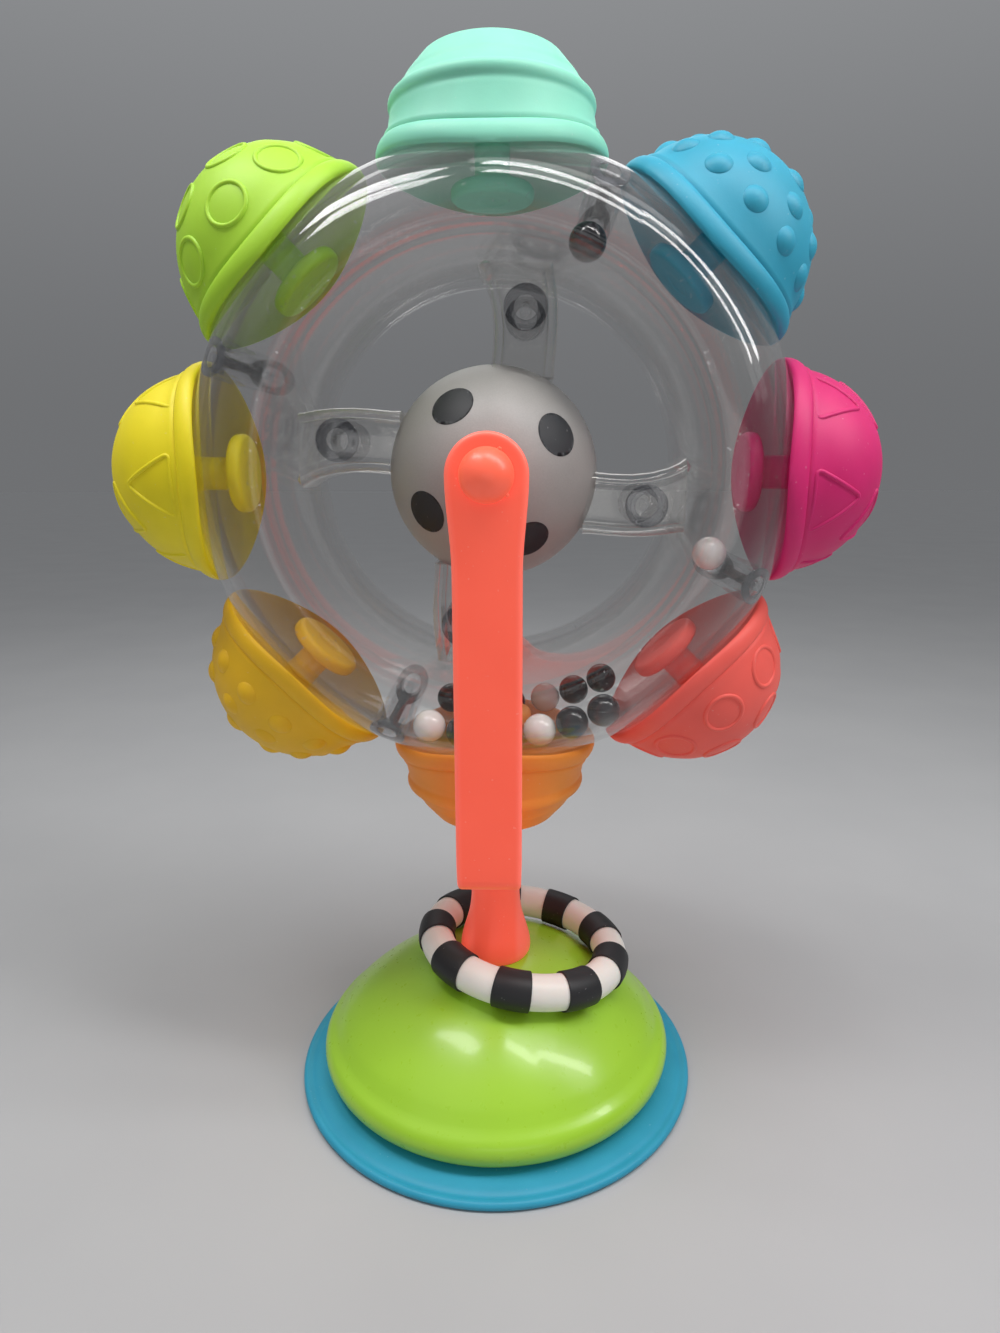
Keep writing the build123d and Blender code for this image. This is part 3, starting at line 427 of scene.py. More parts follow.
class Palette(Enum):
    """The toy's finishes, named after the record's material slots."""

    CUP = SoftRubber("cup_blue", from_screen("2897B6"), roughness=0.5, glow=0.08)
    BASE = GlossPlastic("base_lime", from_screen("A0D032"), roughness=0.24, coat=0.2)
    PLATE = GlossPlastic("plate_lime", from_screen("8FC236"), roughness=0.4, coat=0.0)
    SCREW = BrushedSteel("screw_steel")
    # Strap, neck and pins carry a strong painted glow (lift) that brightens their shaded front
    # faces.
    STRAP = StrapRubber("coral_soft", from_screen("FF6048"), 0.38, glow=0.16, lift=0.36)
    PIN = SoftRubber("coral_hard", from_screen("FF6A50"), 0.34, glow=0.16, lift=0.3)
    HUB = FrostedPlastic("hub_frost", from_screen("ABA7A4"))
    DOT = SoftRubber("dot_black", from_screen("2C2D31"), 0.5, grain_mm=0.25, glow=0.0, lift=0.0)
    CLEAR = ClearPlastic("clear_shell")
    SPOKE = ClearPlastic("clear_spoke", shine=(0.97, 0.95, 0.92), edge=0.9, edge_power=2.4)
    COLUMN = ClearPlastic("clear_column", (0.985, 0.985, 0.99), face=0.02, edge=0.3)
    # Painted shade: a dark, mostly see-through finish for the rings at the bosses' ends.
    PAINTED_SHADE_RING = ClearPlastic("painted_shade_clear", shine=(0.22, 0.23, 0.26), face=0.2, roughness=0.25)
    MINT = SoftRubber("mint", from_screen("8BDABF"))
    BLUE = SoftRubber("blue", from_screen("2A9BB8"))
    MAGENTA = SoftRubber("magenta", from_screen("D61C6E"))
    CORAL = SoftRubber("coral", from_screen("FF6459"))
    ORANGE = SoftRubber("orange", from_screen("FC9A3A"))
    AMBER = SoftRubber("amber", from_screen("EDB91A"))
    YELLOW = SoftRubber("yellow", from_screen("EEDB14"))
    LIME = SoftRubber("lime", from_screen("A8D632"))
    BEAD_BLACK = GlossPlastic("bead_black", from_screen("17181E"), roughness=0.1, coat=0.15)
    BEAD_WHITE = GlossPlastic("bead_white", from_screen("F1EDEA"), roughness=0.2)
    RING_WHITE = SoftRubber("ring_white", from_screen("EFEAE2"), roughness=0.42, glow=0.2)
    RING_BLACK = SoftRubber("ring_black", from_screen("232325"), 0.5, glow=0.0, lift=0.0)

    def paint(self, piece: Piece) -> None:
        """Give a piece this finish."""
        made = bpy.data.materials.get(f"{self.value.name}_finish") or self.value.build()
        piece.data.materials.clear()
        piece.data.materials.append(made)

    def dress(self, piece: Piece, node: str) -> Piece:
        """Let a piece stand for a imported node, in this finish."""
        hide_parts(node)
        self.paint(piece)
        return piece


class Workbench:
    """Hand tools that every sub-assembly is modelled with."""

    @staticmethod
    def pick(*pieces: Piece) -> None:
        """Select only these pieces, with the first one active."""
        bpy.ops.object.select_all(action="DESELECT")
        for piece in pieces:
            piece.select_set(True)
        bpy.context.view_layer.objects.active = pieces[0]

    @staticmethod
    def lathe(
        name: str,
        profile: Profile,
        segments: int = 96,
        seat: Seat | None = None,
        crease: float | None = None,
    ) -> Piece:
        """Turn a profile round +Z: one circle, extruded and resized ring by ring.

        Args:
            name: The piece's name.
            profile: Radius and height of each ring, in millimetres.
            segments: Points round each ring.
            seat: Gives a point's own height from its x, y and height, if rings aren't flat.
            crease: Shades the piece smooth, apart from edges sharper than this angle.

        Returns:
            The new closed piece, with its doubles merged.
        """
        bpy.ops.object.select_all(action="DESELECT")
        radius, height = max(profile[0][0], POLE) * MM, profile[0][1] * MM
        bpy.ops.mesh.primitive_circle_add(vertices=segments, radius=radius)
        piece = bpy.context.object
        piece.name = piece.data.name = name
        bpy.ops.object.mode_set(mode="EDIT")
        bpy.ops.transform.translate(value=(0, 0, height))
        for ring_radius, ring_height in profile[1:]:
            wanted, level = max(ring_radius, POLE) * MM, ring_height * MM
            bpy.ops.mesh.extrude_region_move(
                TRANSFORM_OT_translate={"value": (0, 0, level - height)}
            )
            grow = wanted / radius
            bpy.ops.transform.resize(value=(grow, grow, 1), center_override=(0, 0, level))
            radius, height = wanted, level
        bpy.ops.object.mode_set(mode="OBJECT")
        if seat:
            for vertex in piece.data.vertices:
                x, y, z = vertex.co / MM
                vertex.co.z = seat(x, y, z) * MM
        Workbench.heal(piece)
        if crease:
            Workbench.smooth(piece, crease)
        return piece

    @staticmethod
    def heal(piece: Piece, gap_mm: float = 0.012) -> None:
        """Merge a mesh's doubles and point its faces outwards."""
        Workbench.pick(piece)
        bpy.ops.object.mode_set(mode="EDIT")
        bpy.ops.mesh.select_all(action="SELECT")
        bpy.ops.mesh.remove_doubles(threshold=gap_mm * MM)
        bpy.ops.mesh.normals_make_consistent(inside=False)
        bpy.ops.object.mode_set(mode="OBJECT")

    @staticmethod
    def smooth(piece: Piece, degrees: float = 40.0) -> None:
        """Shade a piece smooth, apart from edges sharper than an angle."""
        Workbench.pick(piece)
        bpy.ops.object.shade_smooth_by_angle(angle=math.radians(degrees))

    @staticmethod
    def settle(piece: Piece, place: Matrix) -> Piece:
        """Move a piece and write its place into its mesh."""
        piece.matrix_world = place
        Workbench.pick(piece)
        bpy.ops.object.transform_apply(location=True, rotation=True, scale=True)
        return piece

    @staticmethod
    def repeat(piece: Piece, name: str, place: Matrix) -> Piece:
        """Copy a piece with its own mesh and settle the copy."""
        twin = piece.copy()
        twin.data = piece.data.copy()
        twin.name = twin.data.name = name
        bpy.context.scene.collection.objects.link(twin)
        return Workbench.settle(twin, place)

    @staticmethod
    def join(pieces: Sequence[Piece], name: str) -> Piece:
        """Join pieces into the first one."""
        Workbench.pick(*pieces)
        bpy.ops.object.join()
        whole = bpy.context.object
        whole.name = whole.data.name = name
        return whole

    @staticmethod
    def finish(piece: Piece, kind: str, **settings: object) -> None:
        """Add one modifier and apply it."""
        Workbench.pick(piece)
        made = piece.modifiers.new(kind.title(), kind)
        for key, value in settings.items():
            setattr(made, key, value)
        bpy.ops.object.modifier_apply(modifier=made.name)

    @staticmethod
    def cut(piece: Piece, cutter: Piece, how: str = "DIFFERENCE") -> None:
        """Combine a piece with a cutter, which is then deleted."""
        Workbench.finish(piece, "BOOLEAN", object=cutter, operation=how, solver="EXACT")
        bpy.data.objects.remove(cutter)

    @staticmethod
    def cast(node: str, name: str, finish: Palette, degrees: float = 35.0) -> Piece:
        """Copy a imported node's mesh, merge it, shade it smooth and finish it.

        Args:
            node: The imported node.
            name: The new piece's name.
            finish: Its finish.
            degrees: Edges sharper than this stay sharp.

        Returns:
            The copy, which stands for the node.
        """
        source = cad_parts[node]
        piece = bpy.data.objects.new(name, source.data.copy())
        bpy.context.scene.collection.objects.link(piece)
        Workbench.heal(piece, 0.001)
        Workbench.smooth(piece, degrees)
        return finish.dress(piece, node)

    @staticmethod
    def cord_line(
        name: str, corners: int, radius: float, rounding: float, thick: float, flat: float
    ) -> Piece:
        """Model a raised outline, a closed bar that follows a rounded polygon.

        Args:
            name: The piece's name.
            corners: Corners of the polygon; many give a circle.
            radius: Distance of the corners from the centre.
            rounding: Length that is rounded off each corner.
            thick: Half the bar's thickness.
            flat: How far the bar is flattened, from 0 to 1.

        Returns:
            The outline in the XY plane.
        """
        bpy.ops.object.select_all(action="DESELECT")
        bpy.ops.mesh.primitive_circle_add(vertices=corners, radius=radius * MM)
        piece = bpy.context.object
        piece.name = piece.data.name = name
        bpy.ops.object.mode_set(mode="EDIT")
        if rounding:
            bpy.ops.mesh.bevel(offset=rounding * MM, segments=5, affect="VERTICES")
            bpy.ops.mesh.select_all(action="SELECT")
            bpy.ops.mesh.subdivide(number_cuts=5)
            bpy.ops.mesh.remove_doubles(threshold=0.05 * MM)
        bpy.ops.object.mode_set(mode="OBJECT")
        bpy.ops.object.convert(target="CURVE")
        piece = bpy.context.object
        piece.data.bevel_depth = thick * MM
        piece.data.bevel_resolution = 2
        bpy.ops.object.convert(target="MESH")
        piece = bpy.context.object
        piece.scale.z = flat
        bpy.ops.object.transform_apply(location=False, rotation=False, scale=True)
        return piece


def arc(
    centre: tuple[float, float], radii: tuple[float, float], start: float, end: float, steps: int
) -> list[tuple[float, float]]:
    """List points on part of an ellipse.

    Args:
        centre: Radius and height of the ellipse's centre.
        radii: Its half sizes along radius and height.
        start: First angle in degrees, from the radius direction.
        end: Last angle in degrees.
        steps: Number of spans.

    Returns:
        Points from the first to the last angle.
    """
    points = []
    for i in range(steps + 1):
        turn = math.radians(start + (end - start) * i / steps)
        across, up = radii[0] * math.cos(turn), radii[1] * math.sin(turn)
        points.append((centre[0] + across, centre[1] + up))
    return points


def softened(corners: Profile, radius: float, steps: int = 4) -> list[tuple[float, float]]:
    """Round the inner corners of a profile with short curves.

    Args:
        corners: The profile's corners.
        radius: Length taken off each side of a corner, at most half of it.
        steps: Spans in each curve.

    Returns:
        The rounded profile.
    """
    points = [tuple(corners[0])]
    for before, corner, after in zip(corners, corners[1:], corners[2:]):
        here = Vector(corner)
        back, ahead = Vector(before) - here, Vector(after) - here
        start = here + back.normalized() * min(radius, back.length / 2)
        end = here + ahead.normalized() * min(radius, ahead.length / 2)
        for i in range(steps + 1):
            t = i / steps
            point = start * (1 - t) ** 2 + here * 2 * t * (1 - t) + end * t**2
            points.append((point.x, point.y))
    points.append(tuple(corners[-1]))
    return points


def along_axle(side: int) -> Matrix:
    """Place that turns a piece's +Z along the axle, towards the front or the rear."""
    turn = Matrix.Rotation(math.radians(-90.0 * side), 4, "X")
    return Matrix.Translation(AXLE * MM) @ turn


def round_wheel(angle: float) -> Matrix:
    """Place with +Z along the wheel's radius at an angle, and +Y towards the rear."""
    return Matrix.Translation(AXLE * MM) @ Matrix.Rotation(math.radians(90.0 - angle), 4, "Y")


def point_at(direction: Vector) -> Matrix:
    """Turn that brings +Z to a direction."""
    return direction.to_track_quat("Z", "Y").to_matrix().to_4x4()


@dataclass
class SuctionBase:
    """Suction cup, glossy base shell, the plate that closes it and its screws."""

    cup_radius: float = 47.5
    sole_radius: float = 42.0
    cup_hollow: float = 3.2
    sphere_radius: float = 52.0
    apex: float = 30.0
    wall: float = 2.4
    crease_radius: float = 40.1
    lip_centre: tuple[float, float] = (37.85, 7.5)
    lip_tube: float = 4.2
    bore_radius: float = 36.8

    def height(self, radius: float, sphere_radius: float) -> float:
        """Height of a base sphere's surface at a radius."""
        return self.apex - self.sphere_radius + math.sqrt(sphere_radius**2 - radius**2)

    def cup(self) -> Piece:
        """Model the thin cup with its rolled edge, hollow and plug."""
        hollow = [
            (self.sole_radius * i / 12, self.cup_hollow * (1 - (i / 12) ** 2)) for i in range(13)
        ]
        edge = arc((self.cup_radius - 1.0, 1.0), (1.0, 1.0), -90, 78, 8)
        top = softened(
            [
                edge[-1],
                (45.4, 1.72), (44.6, 2.15), (40.1, 2.95), (36.0, 3.0), (14.0, 6.7),
                (6.0, 6.7), (6.0, 9.3), (8.5, 9.3), (6.0, 12.3), (POLE, 12.3),
            ],
            0.7,
        )
        profile = [*hollow, *edge, *top[1:]]
        piece = Workbench.lathe("suction_cup_body", profile, 128, crease=50)
        return Palette.CUP.dress(piece, "suction_cup")

    def shell(self) -> Piece:
        """Model the low dome with its plump rolled lip."""
        dome_angle = math.degrees(math.asin(self.crease_radius / self.sphere_radius))
        centre = (0.0, self.apex - self.sphere_radius)
        radius = self.sphere_radius
        dome = arc(centre, (radius, radius), 90, 90 - dome_angle + 0.8, 28)
        dome_end = 38.3
        lip = arc(self.lip_centre, (self.lip_tube, self.lip_tube), 62, -90, 14)
        inner_radius = self.sphere_radius - self.wall
        inner_angle = math.degrees(math.asin(self.bore_radius / inner_radius))
        inside = arc(centre, (inner_radius, inner_radius), 90 - inner_angle, 90, 12)
        profile = [
            (POLE, self.apex),
            *[point for point in dome[1:] if point[0] < dome_end],
            (38.75, 12.25), (39.15, 11.86),
            *[point for point in lip if point[0] > 39.4 or point[1] < self.lip_centre[1]],
            (self.bore_radius, 3.3),
            *inside,
        ]
        piece = Workbench.lathe("base_shell_body", profile, 160, crease=50)
        return Palette.BASE.dress(piece, "base_shell")

    def hidden(self) -> list[Piece]:
        """Dress the plate and screws that show only from below."""
        return [
            Workbench.cast("base_plate", "base_plate_body", Palette.PLATE),
            Workbench.cast("base_screws", "base_screws_set", Palette.SCREW),
            Workbench.cast("neck_screw", "neck_screw_body", Palette.SCREW),
        ]

    def build(self) -> list[Piece]:
        """Model the base's pieces."""
        return [self.cup(), self.shell(), *self.hidden()]


@dataclass
class ForkStand:
    """Neck, soft fork and the two axle pins."""

    neck_waist: float = 5.75
    neck_top: float = 51.0
    arm_outer: float = 37.0
    pin_radius: float = 4.8
    pin_height: float = 4.6

    def neck(self, base: SuctionBase) -> Piece:
        """Model the post with its bell-shaped foot."""
        bottom = [(r, base.height(r, base.sphere_radius) + 0.03) for r in (POLE, 3.0, 5.5, 7.2)]
        flare = [
            (7.95, 29.55), (8.3, 30.15), (8.42, 31.1), (8.36, 32.2), (8.05, 33.8),
            (7.55, 35.6), (7.0, 37.4), (6.5, 39.2), (6.12, 41.0), (5.88, 42.8),
            (5.76, 44.6), (self.neck_waist, 46.5), (self.neck_waist, self.neck_top),
            (3.6, self.neck_top), (3.6, self.neck_top + 5), (POLE, self.neck_top + 5),
        ]
        piece = Workbench.lathe("neck_body", [*bottom, *flare], 72, crease=50)
        return Palette.STRAP.dress(piece, "neck")

    def strap(self) -> Piece:
        """Dress the fork itself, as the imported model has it."""
        return Workbench.cast("fork", "fork_strap", Palette.STRAP, 30)

    def pin(self) -> list[Piece]:
        """Model a domed pin with two moulding nibs, and its twin at the rear."""
        crown = self.pin_height - 1.0
        sphere = (self.pin_radius**2 + crown**2) / (2 * crown)
        tilt = math.degrees(math.asin(self.pin_radius / sphere))
        cap = arc((0.0, self.arm_outer + 1.0 + crown - sphere), (sphere, sphere), 90 - tilt, 90, 14)
        profile = [
            (POLE, 4.5), (2.2, 4.5), (2.5, 4.8), (2.5, 22.2), (2.85, 22.2),
            (2.85, self.arm_outer), (self.pin_radius, self.arm_outer),
            (self.pin_radius, self.arm_outer + 0.85),
            *[(min(r, self.pin_radius - 0.02), z) for r, z in cap],
        ]
        front = Workbench.lathe("axle_pin_front", profile, 64)
        nibs = []
        for angle in (62.0, -43.0):
            nib = Workbench.lathe("nib", [(POLE, 0.0), (0.45, 0.0), (0.3, 0.5), (POLE, 0.62)], 12)
            turn = math.radians(angle)
            reach = self.pin_radius - 0.1
            spot = Vector((reach * math.cos(turn), reach * math.sin(turn), self.arm_outer + 0.8))
            lean = Matrix.Rotation(turn, 4, "Z") @ Matrix.Rotation(math.radians(70), 4, "Y")
            nibs.append(Workbench.settle(nib, Matrix.Translation(spot * MM) @ lean))
        front = Workbench.join([front, *nibs], "axle_pin_front")
        Workbench.smooth(front, 40)
        rear = Workbench.repeat(front, "axle_pin_rear", along_axle(1))
        Workbench.settle(front, along_axle(-1))
        return [
            Palette.PIN.dress(front, "front_axle_pin"),
            Palette.PIN.dress(rear, "rear_axle_pin"),
        ]

    def build(self, base: SuctionBase) -> list[Piece]:
        """Model the stand's pieces."""
        return [self.neck(base), self.strap(), *self.pin()]


class Pattern(Enum):
    """What a soft dome's skin carries."""

    BANDS = "bands"
    BUMPS = "bumps"
    TRIANGLES = "triangles"
    CIRCLES = "circles"


@dataclass
class SoftDomes:
    """Eight soft domes round the ring, and the plugs that hold them."""

    centre: float = 59.3
    radius: float = 21.0
    ring_face: float = 46.5
    ring_rise: float = 15.5
    ring_half: float = 27.0
    line: float = 0.48
    circle: float = 4.15
    triangle: float = 7.7
    circle_rings: tuple[Ring, ...] = ((1, 0.0, 0.0), (6, 36.0, 0.0), (9, 68.0, 30.5))
    bump_rings: tuple[Ring, ...] = (
        (1, 0.0, 0.0),
        (6, 27.5, 46.5),
        (10, 50.5, 3.0),
        (13, 69.0, 20.8),
    )
    triangle_rings: tuple[tuple[Ring, float], ...] = (
        ((6, 74.0, 45.0), 0.0),
        ((3, 41.0, 75.0), 180.0),
    )
    places: tuple[tuple[str, float, Pattern, float, Palette], ...] = (
        ("mint", 90.0, Pattern.BANDS, 0.0, Palette.MINT),
        ("blue", 45.0, Pattern.BUMPS, 0.0, Palette.BLUE),
        ("magenta", 0.0, Pattern.TRIANGLES, 0.0, Palette.MAGENTA),
        ("coral", -45.0, Pattern.CIRCLES, 0.0, Palette.CORAL),
        ("orange", -90.0, Pattern.BANDS, 0.0, Palette.ORANGE),
        ("amber", -135.0, Pattern.BUMPS, 180.0, Palette.AMBER),
        ("yellow", 180.0, Pattern.TRIANGLES, 39.0, Palette.YELLOW),
        ("lime", 135.0, Pattern.CIRCLES, 0.0, Palette.LIME),
    )

    def seat(self, x: float, y: float) -> float:
        """Height of the ring's outer skin under a point of the dome."""
        share = min(abs(y) / self.ring_half, 1.0)
        ring = self.ring_face + self.ring_rise * math.sqrt(1 - share**2)
        return math.sqrt(ring**2 - x**2)

    def skin(self, name: str, pattern: Pattern) -> Piece:
        """Model a dome's body, with a rim that follows the ring and a plain or banded cap."""
        rim = [
            (POLE, 0.3), (6.0, 0.3), (12.0, 0.3), (17.0, 0.3), (20.0, 0.3),
            (21.6, 0.32), (22.3, 0.5), (22.65, 0.95), (22.8, 1.6), (22.75, 2.4),
            (22.5, 3.1), (22.1, 3.65), (21.6, 3.92), (21.25, 3.8), (21.12, 3.5),
            (21.2, 3.75), (21.22, 4.55), (21.1, 4.8),
        ]
        if pattern is Pattern.BANDS:
            body = softened(
                [
                    (20.45, 63.6), (20.0, 66.2), (19.75, 67.1), (20.15, 67.9),
                    (20.2, 68.8), (19.85, 69.6), (19.15, 70.05), (17.4, 72.1),
                    (16.95, 72.95), (13.7, 76.7), (8.7, 78.75), (8.0, 79.15),
                    (4.0, 80.1), (POLE, 80.4),
                ],
                0.5,
            )
        else:
            body = [
                (self.radius * math.cos(a), self.centre + self.radius * math.sin(a))
                for a in (math.radians(12 + 78 * i / 26) for i in range(27))
            ]
        marker = 200.0
        profile = [*((r, z - marker) for r, z in rim), *body]

        def seated(x: float, y: float, z: float) -> float:
            return self.seat(x, y) + z + marker if z < 0 else z

        return Workbench.lathe(name, profile, 128, seated)

    def spots(self, rings: Iterable[Ring], own_turn: float) -> list[Matrix]:
        """List places on the cap's sphere.

        Args:
            rings: Count, angle from the tip and first turn of each ring.
            own_turn: Turn of the whole pattern about the dome's axis.

        Returns:
            Places with +Z square to the surface and +X towards the rim.
        """
        found = []
        for count, polar, start in rings:
            for i in range(count):
                turn = Matrix.Rotation(math.radians(own_turn + start + 360 / count * i), 4, "Z")
                tilt = Matrix.Rotation(math.radians(polar), 4, "Y")
                up = Matrix.Translation((0, 0, self.radius * MM))
                middle = Matrix.Translation((0, 0, self.centre * MM))
                found.append(middle @ turn @ tilt @ up)
        return found

    def wrap(self, piece: Piece) -> None:
        """Bend a flat outline onto the cap's sphere."""
        sphere = self.radius * MM
        for vertex in piece.data.vertices:
            out = Vector((vertex.co.x, vertex.co.y, sphere)).normalized()
            vertex.co = out * (sphere + vertex.co.z) - Vector((0, 0, sphere))
        piece.data.update()

    def relief(self, pattern: Pattern, own_turn: float) -> list[Piece]:
        """Model the raised circles, triangles or bumps of one dome."""
        made: list[Piece] = []
        if pattern is Pattern.CIRCLES:
            outline = Workbench.cord_line("outline", 40, self.circle, 0.0, self.line, 0.75)
            self.wrap(outline)
            for place in self.spots(self.circle_rings, own_turn):
                made.append(Workbench.repeat(outline, "circle", place))
            bpy.data.objects.remove(outline)
        elif pattern is Pattern.TRIANGLES:
            outline = Workbench.cord_line("outline", 3, self.triangle, 1.6, self.line, 0.75)
            Workbench.settle(outline, Matrix.Rotation(math.radians(90), 4, "Z"))
            self.wrap(outline)
            for ring, flip in self.triangle_rings:
                upside = Matrix.Rotation(math.radians(flip), 4, "Z")
                for place in self.spots([ring], own_turn):
                    made.append(Workbench.repeat(outline, "triangle", place @ upside))
            bpy.data.objects.remove(outline)
        elif pattern is Pattern.BUMPS:
            bump = Workbench.lathe(
                "bump",
                [
                    (2.75, -0.5), (2.5, -0.14), (2.38, 0.0), (2.15, 0.16), (1.8, 0.38),
                    (1.3, 0.62), (0.7, 0.79), (POLE, 0.85),
                ],
                32,
            )
            for place in self.spots(self.bump_rings, own_turn):
                made.append(Workbench.repeat(bump, "bump", place))
            bpy.data.objects.remove(bump)
        return made

    def plug(self) -> Piece:
        """Model one retaining plug with a rounded edge and a dimple."""
        profile = softened(
            [
                (POLE, 52.6), (2.4, 52.6), (3.0, 52.3), (8.25, 52.3), (8.25, 55.3),
                (3.6, 55.3), (3.6, 53.3), (POLE, 53.3),
            ],
            1.25,
            5,
        )
        return Workbench.lathe("plug", profile, 56, crease=50)

    def build(self) -> list[Piece]:
        """Model every dome and plug."""
        plug = self.plug()
        skins = {pattern: self.skin(f"skin_{pattern.value}", pattern) for pattern in Pattern}
        stem = Workbench.lathe(
            "stem", [(POLE, 53.4), (3.45, 53.4), (3.45, 62.6), (POLE, 62.6)], 32
        )
        pieces = []
        for name, angle, pattern, own_turn, finish in self.places:
            here = Matrix.Identity(4)
            parts = [
                Workbench.repeat(skins[pattern], f"{name}_skin", here),
                Workbench.repeat(stem, f"{name}_stem", here),
                *self.relief(pattern, own_turn),
            ]
            dome = Workbench.join(parts, f"{name}_dome_body")
            Workbench.smooth(dome, 50)
            Workbench.settle(dome, round_wheel(angle))
            held = Workbench.repeat(plug, f"{name}_plug_body", round_wheel(angle))
            pieces.append(finish.dress(dome, f"{name}_dome"))
            pieces.append(finish.dress(held, f"{name}_plug"))
        for master in (*skins.values(), stem, plug):
            bpy.data.objects.remove(master)
        return pieces


@dataclass
class BeadWheel:
    """Clear ring of two half shells, hollow spokes, bosses and the frosted hub."""

    outer: float = 62.0
    face: float = 46.5
    half: float = 27.0
    hole: float = 39.5
    flare: float = 1.9
    straight: float = 10.0
    wall: float = 1.8
    spoke_half_depth: float = 8.5
    spoke_wall: float = 1.8
    rim_boss_circle: float = 56.0
    rim_boss_half: float = 26.5
    boss_wall: float = 1.25
    rim_boss_angles: tuple[float, ...] = (67.5, 157.5, 247.5, 337.5)
    spoke_boss: tuple[float, float] = (31.8, -6.7)
    hub_radius: float = 21.86

    def ring_half(self, side: int) -> Piece:
        """Model one half of the ring's tube as a thin closed shell."""
        rise = self.outer - self.face

        def skin(inset: float) -> list[tuple[float, float]]:
            crown = arc((self.face, 0.0), (rise - inset, self.half - inset), 0, 90, 26)
            mouth = softened(
                [
                    (self.face, self.half - inset),
                    (self.hole + self.flare + inset, self.half - inset),
                    (self.hole + inset, self.straight),
                ],
                3.2 - inset * 0.8,
                7,
            )
            return [*crown[:-1], *mouth, (self.hole + inset, 0.0)]

        outside, inside = skin(0.0), skin(self.wall)
        profile = [*outside, *reversed(inside), outside[0]]
        name = "ring_front_half" if side < 0 else "ring_rear_half"
        piece = Workbench.lathe(name, profile, 192, crease=45)
        return Workbench.settle(piece, along_axle(side))

    def spoke(self) -> Piece:
        """Model one hollow clear spoke: a bar drawn out in steps, rounded and walled."""
        bpy.ops.object.select_all(action="DESELECT")
        bpy.ops.mesh.primitive_cube_add(size=1.0)
        piece = bpy.context.object
        stations = (
            (20.6, -6.1, 6.4),
            (24.5, -6.5, 6.4),
            (28.5, -6.7, 6.45),
            (32.5, -6.5, 6.6),
            (36.0, -5.9, 6.85),
            (38.2, -5.2, 7.15),
            (39.6, -4.6, 7.6),
        )
        first = stations[0]
        depth = 2 * self.spoke_half_depth
        start = Matrix.LocRotScale(
            Vector((first[0] - 1.0, 0, first[1])) * MM,
            None,
            Vector((2.0, depth, 2 * first[2])) * MM,
        )
        Workbench.settle(piece, start)
        bpy.ops.object.mode_set(mode="EDIT")
        bpy.ops.mesh.select_all(action="DESELECT")
        bpy.ops.object.mode_set(mode="OBJECT")
        for polygon in piece.data.polygons:
            polygon.select = polygon.normal.x > 0.9
        bpy.ops.object.mode_set(mode="EDIT")
        bpy.ops.mesh.select_mode(type="FACE")
        for (x0, z0, w0), (x1, z1, w1) in zip(stations, stations[1:]):
            move = Vector((x1 - x0, 0, z1 - z0)) * MM
            bpy.ops.mesh.extrude_region_move(TRANSFORM_OT_translate={"value": move})
            bpy.ops.transform.resize(
                value=(1, 1, w1 / w0), center_override=Vector((x1, 0, z1)) * MM
            )
        bpy.ops.object.mode_set(mode="OBJECT")
        piece.name = piece.data.name = "spoke"
        long_edges = []
        for edge in piece.data.edges:
            a, b = (piece.data.vertices[i].co for i in edge.vertices)
            long_edges.append(abs(a.x - b.x) > 1.2 * MM)
        weights = piece.data.attributes.new("bevel_weight_edge", "FLOAT", "EDGE")
        weights.data.foreach_set("value", [float(is_long) for is_long in long_edges])
        Workbench.finish(
            piece, "BEVEL", limit_method="WEIGHT", width=3.3 * MM, segments=6, profile=0.55
        )
        for polygon in piece.data.polygons:
            polygon.select = abs(polygon.normal.x) > 0.9
        Workbench.pick(piece)
        bpy.ops.object.mode_set(mode="EDIT")
        bpy.ops.mesh.delete(type="FACE")
        bpy.ops.mesh.select_mode(type="VERT")
        bpy.ops.object.mode_set(mode="OBJECT")
        Workbench.heal(piece)
        Workbench.finish(piece, "SOLIDIFY", thickness=self.spoke_wall * MM, offset=-1.0)
        Workbench.smooth(piece, 45)
        return piece

    def under_skin(self, x: float, y: float, z: float) -> float:
        """Bring a point at a rim boss's end under the ring's outer skin."""
        out = (math.hypot(self.rim_boss_circle + x, y) - self.face) / (self.outer - self.face)
        room = (self.half - 0.4) * math.sqrt(max(0.0, 1 - max(0.0, out) ** 2))
        return math.copysign(room - self.rim_boss_half + abs(z), z)

    def boss(
        self,
        name: str,
        radius: float,
        half: float,
        pin: float,
        seat: Seat | None = None,
    ) -> list[Piece]:
        """Model a clear column with a thin pin in it, and dark rings of painted shade at its ends.

        Args:
            name: The piece's name.
            radius: The column's radius.
            half: Half its length.
            pin: The pin's radius.
            seat: Gives a point's own height, where an end follows the ring.

        Returns:
            The column and its dark rings of painted shade, standing on +Z.
        """
        inner = radius - self.boss_wall
        tube = [(inner, -half), (radius, -half), (radius, half), (inner, half), (inner, -half)]
        thin = pin * 0.5
        core = [(POLE, 1 - half), (thin, 1 - half), (thin, half - 1), (POLE, half - 1)]
        shafts = [
            Workbench.lathe(name, softened(tube, 0.25, 3), 40, seat),
            Workbench.lathe("pin", softened(core, 0.4, 4), 24, seat),
        ]
        # Painted shade: thin dark rings at the column's ends stand in for the dark look of its
        # walls seen end-on through the clear ring.
        painted_shade_rings = []
        for side in (-1, 1):
            low, high = side * (half - 1.3), side * (half - 0.1)
            loop = [(pin, low), (radius - 0.15, low), (radius - 0.15, high), (pin, high)]
            painted_shade_rings.append(Workbench.lathe("collar", [*loop, loop[0]], 40, seat))
        made = [Workbench.join(shafts, name), Workbench.join(painted_shade_rings, f"{name}_collars")]
        for piece in made:
            Workbench.smooth(piece, 45)
        return made

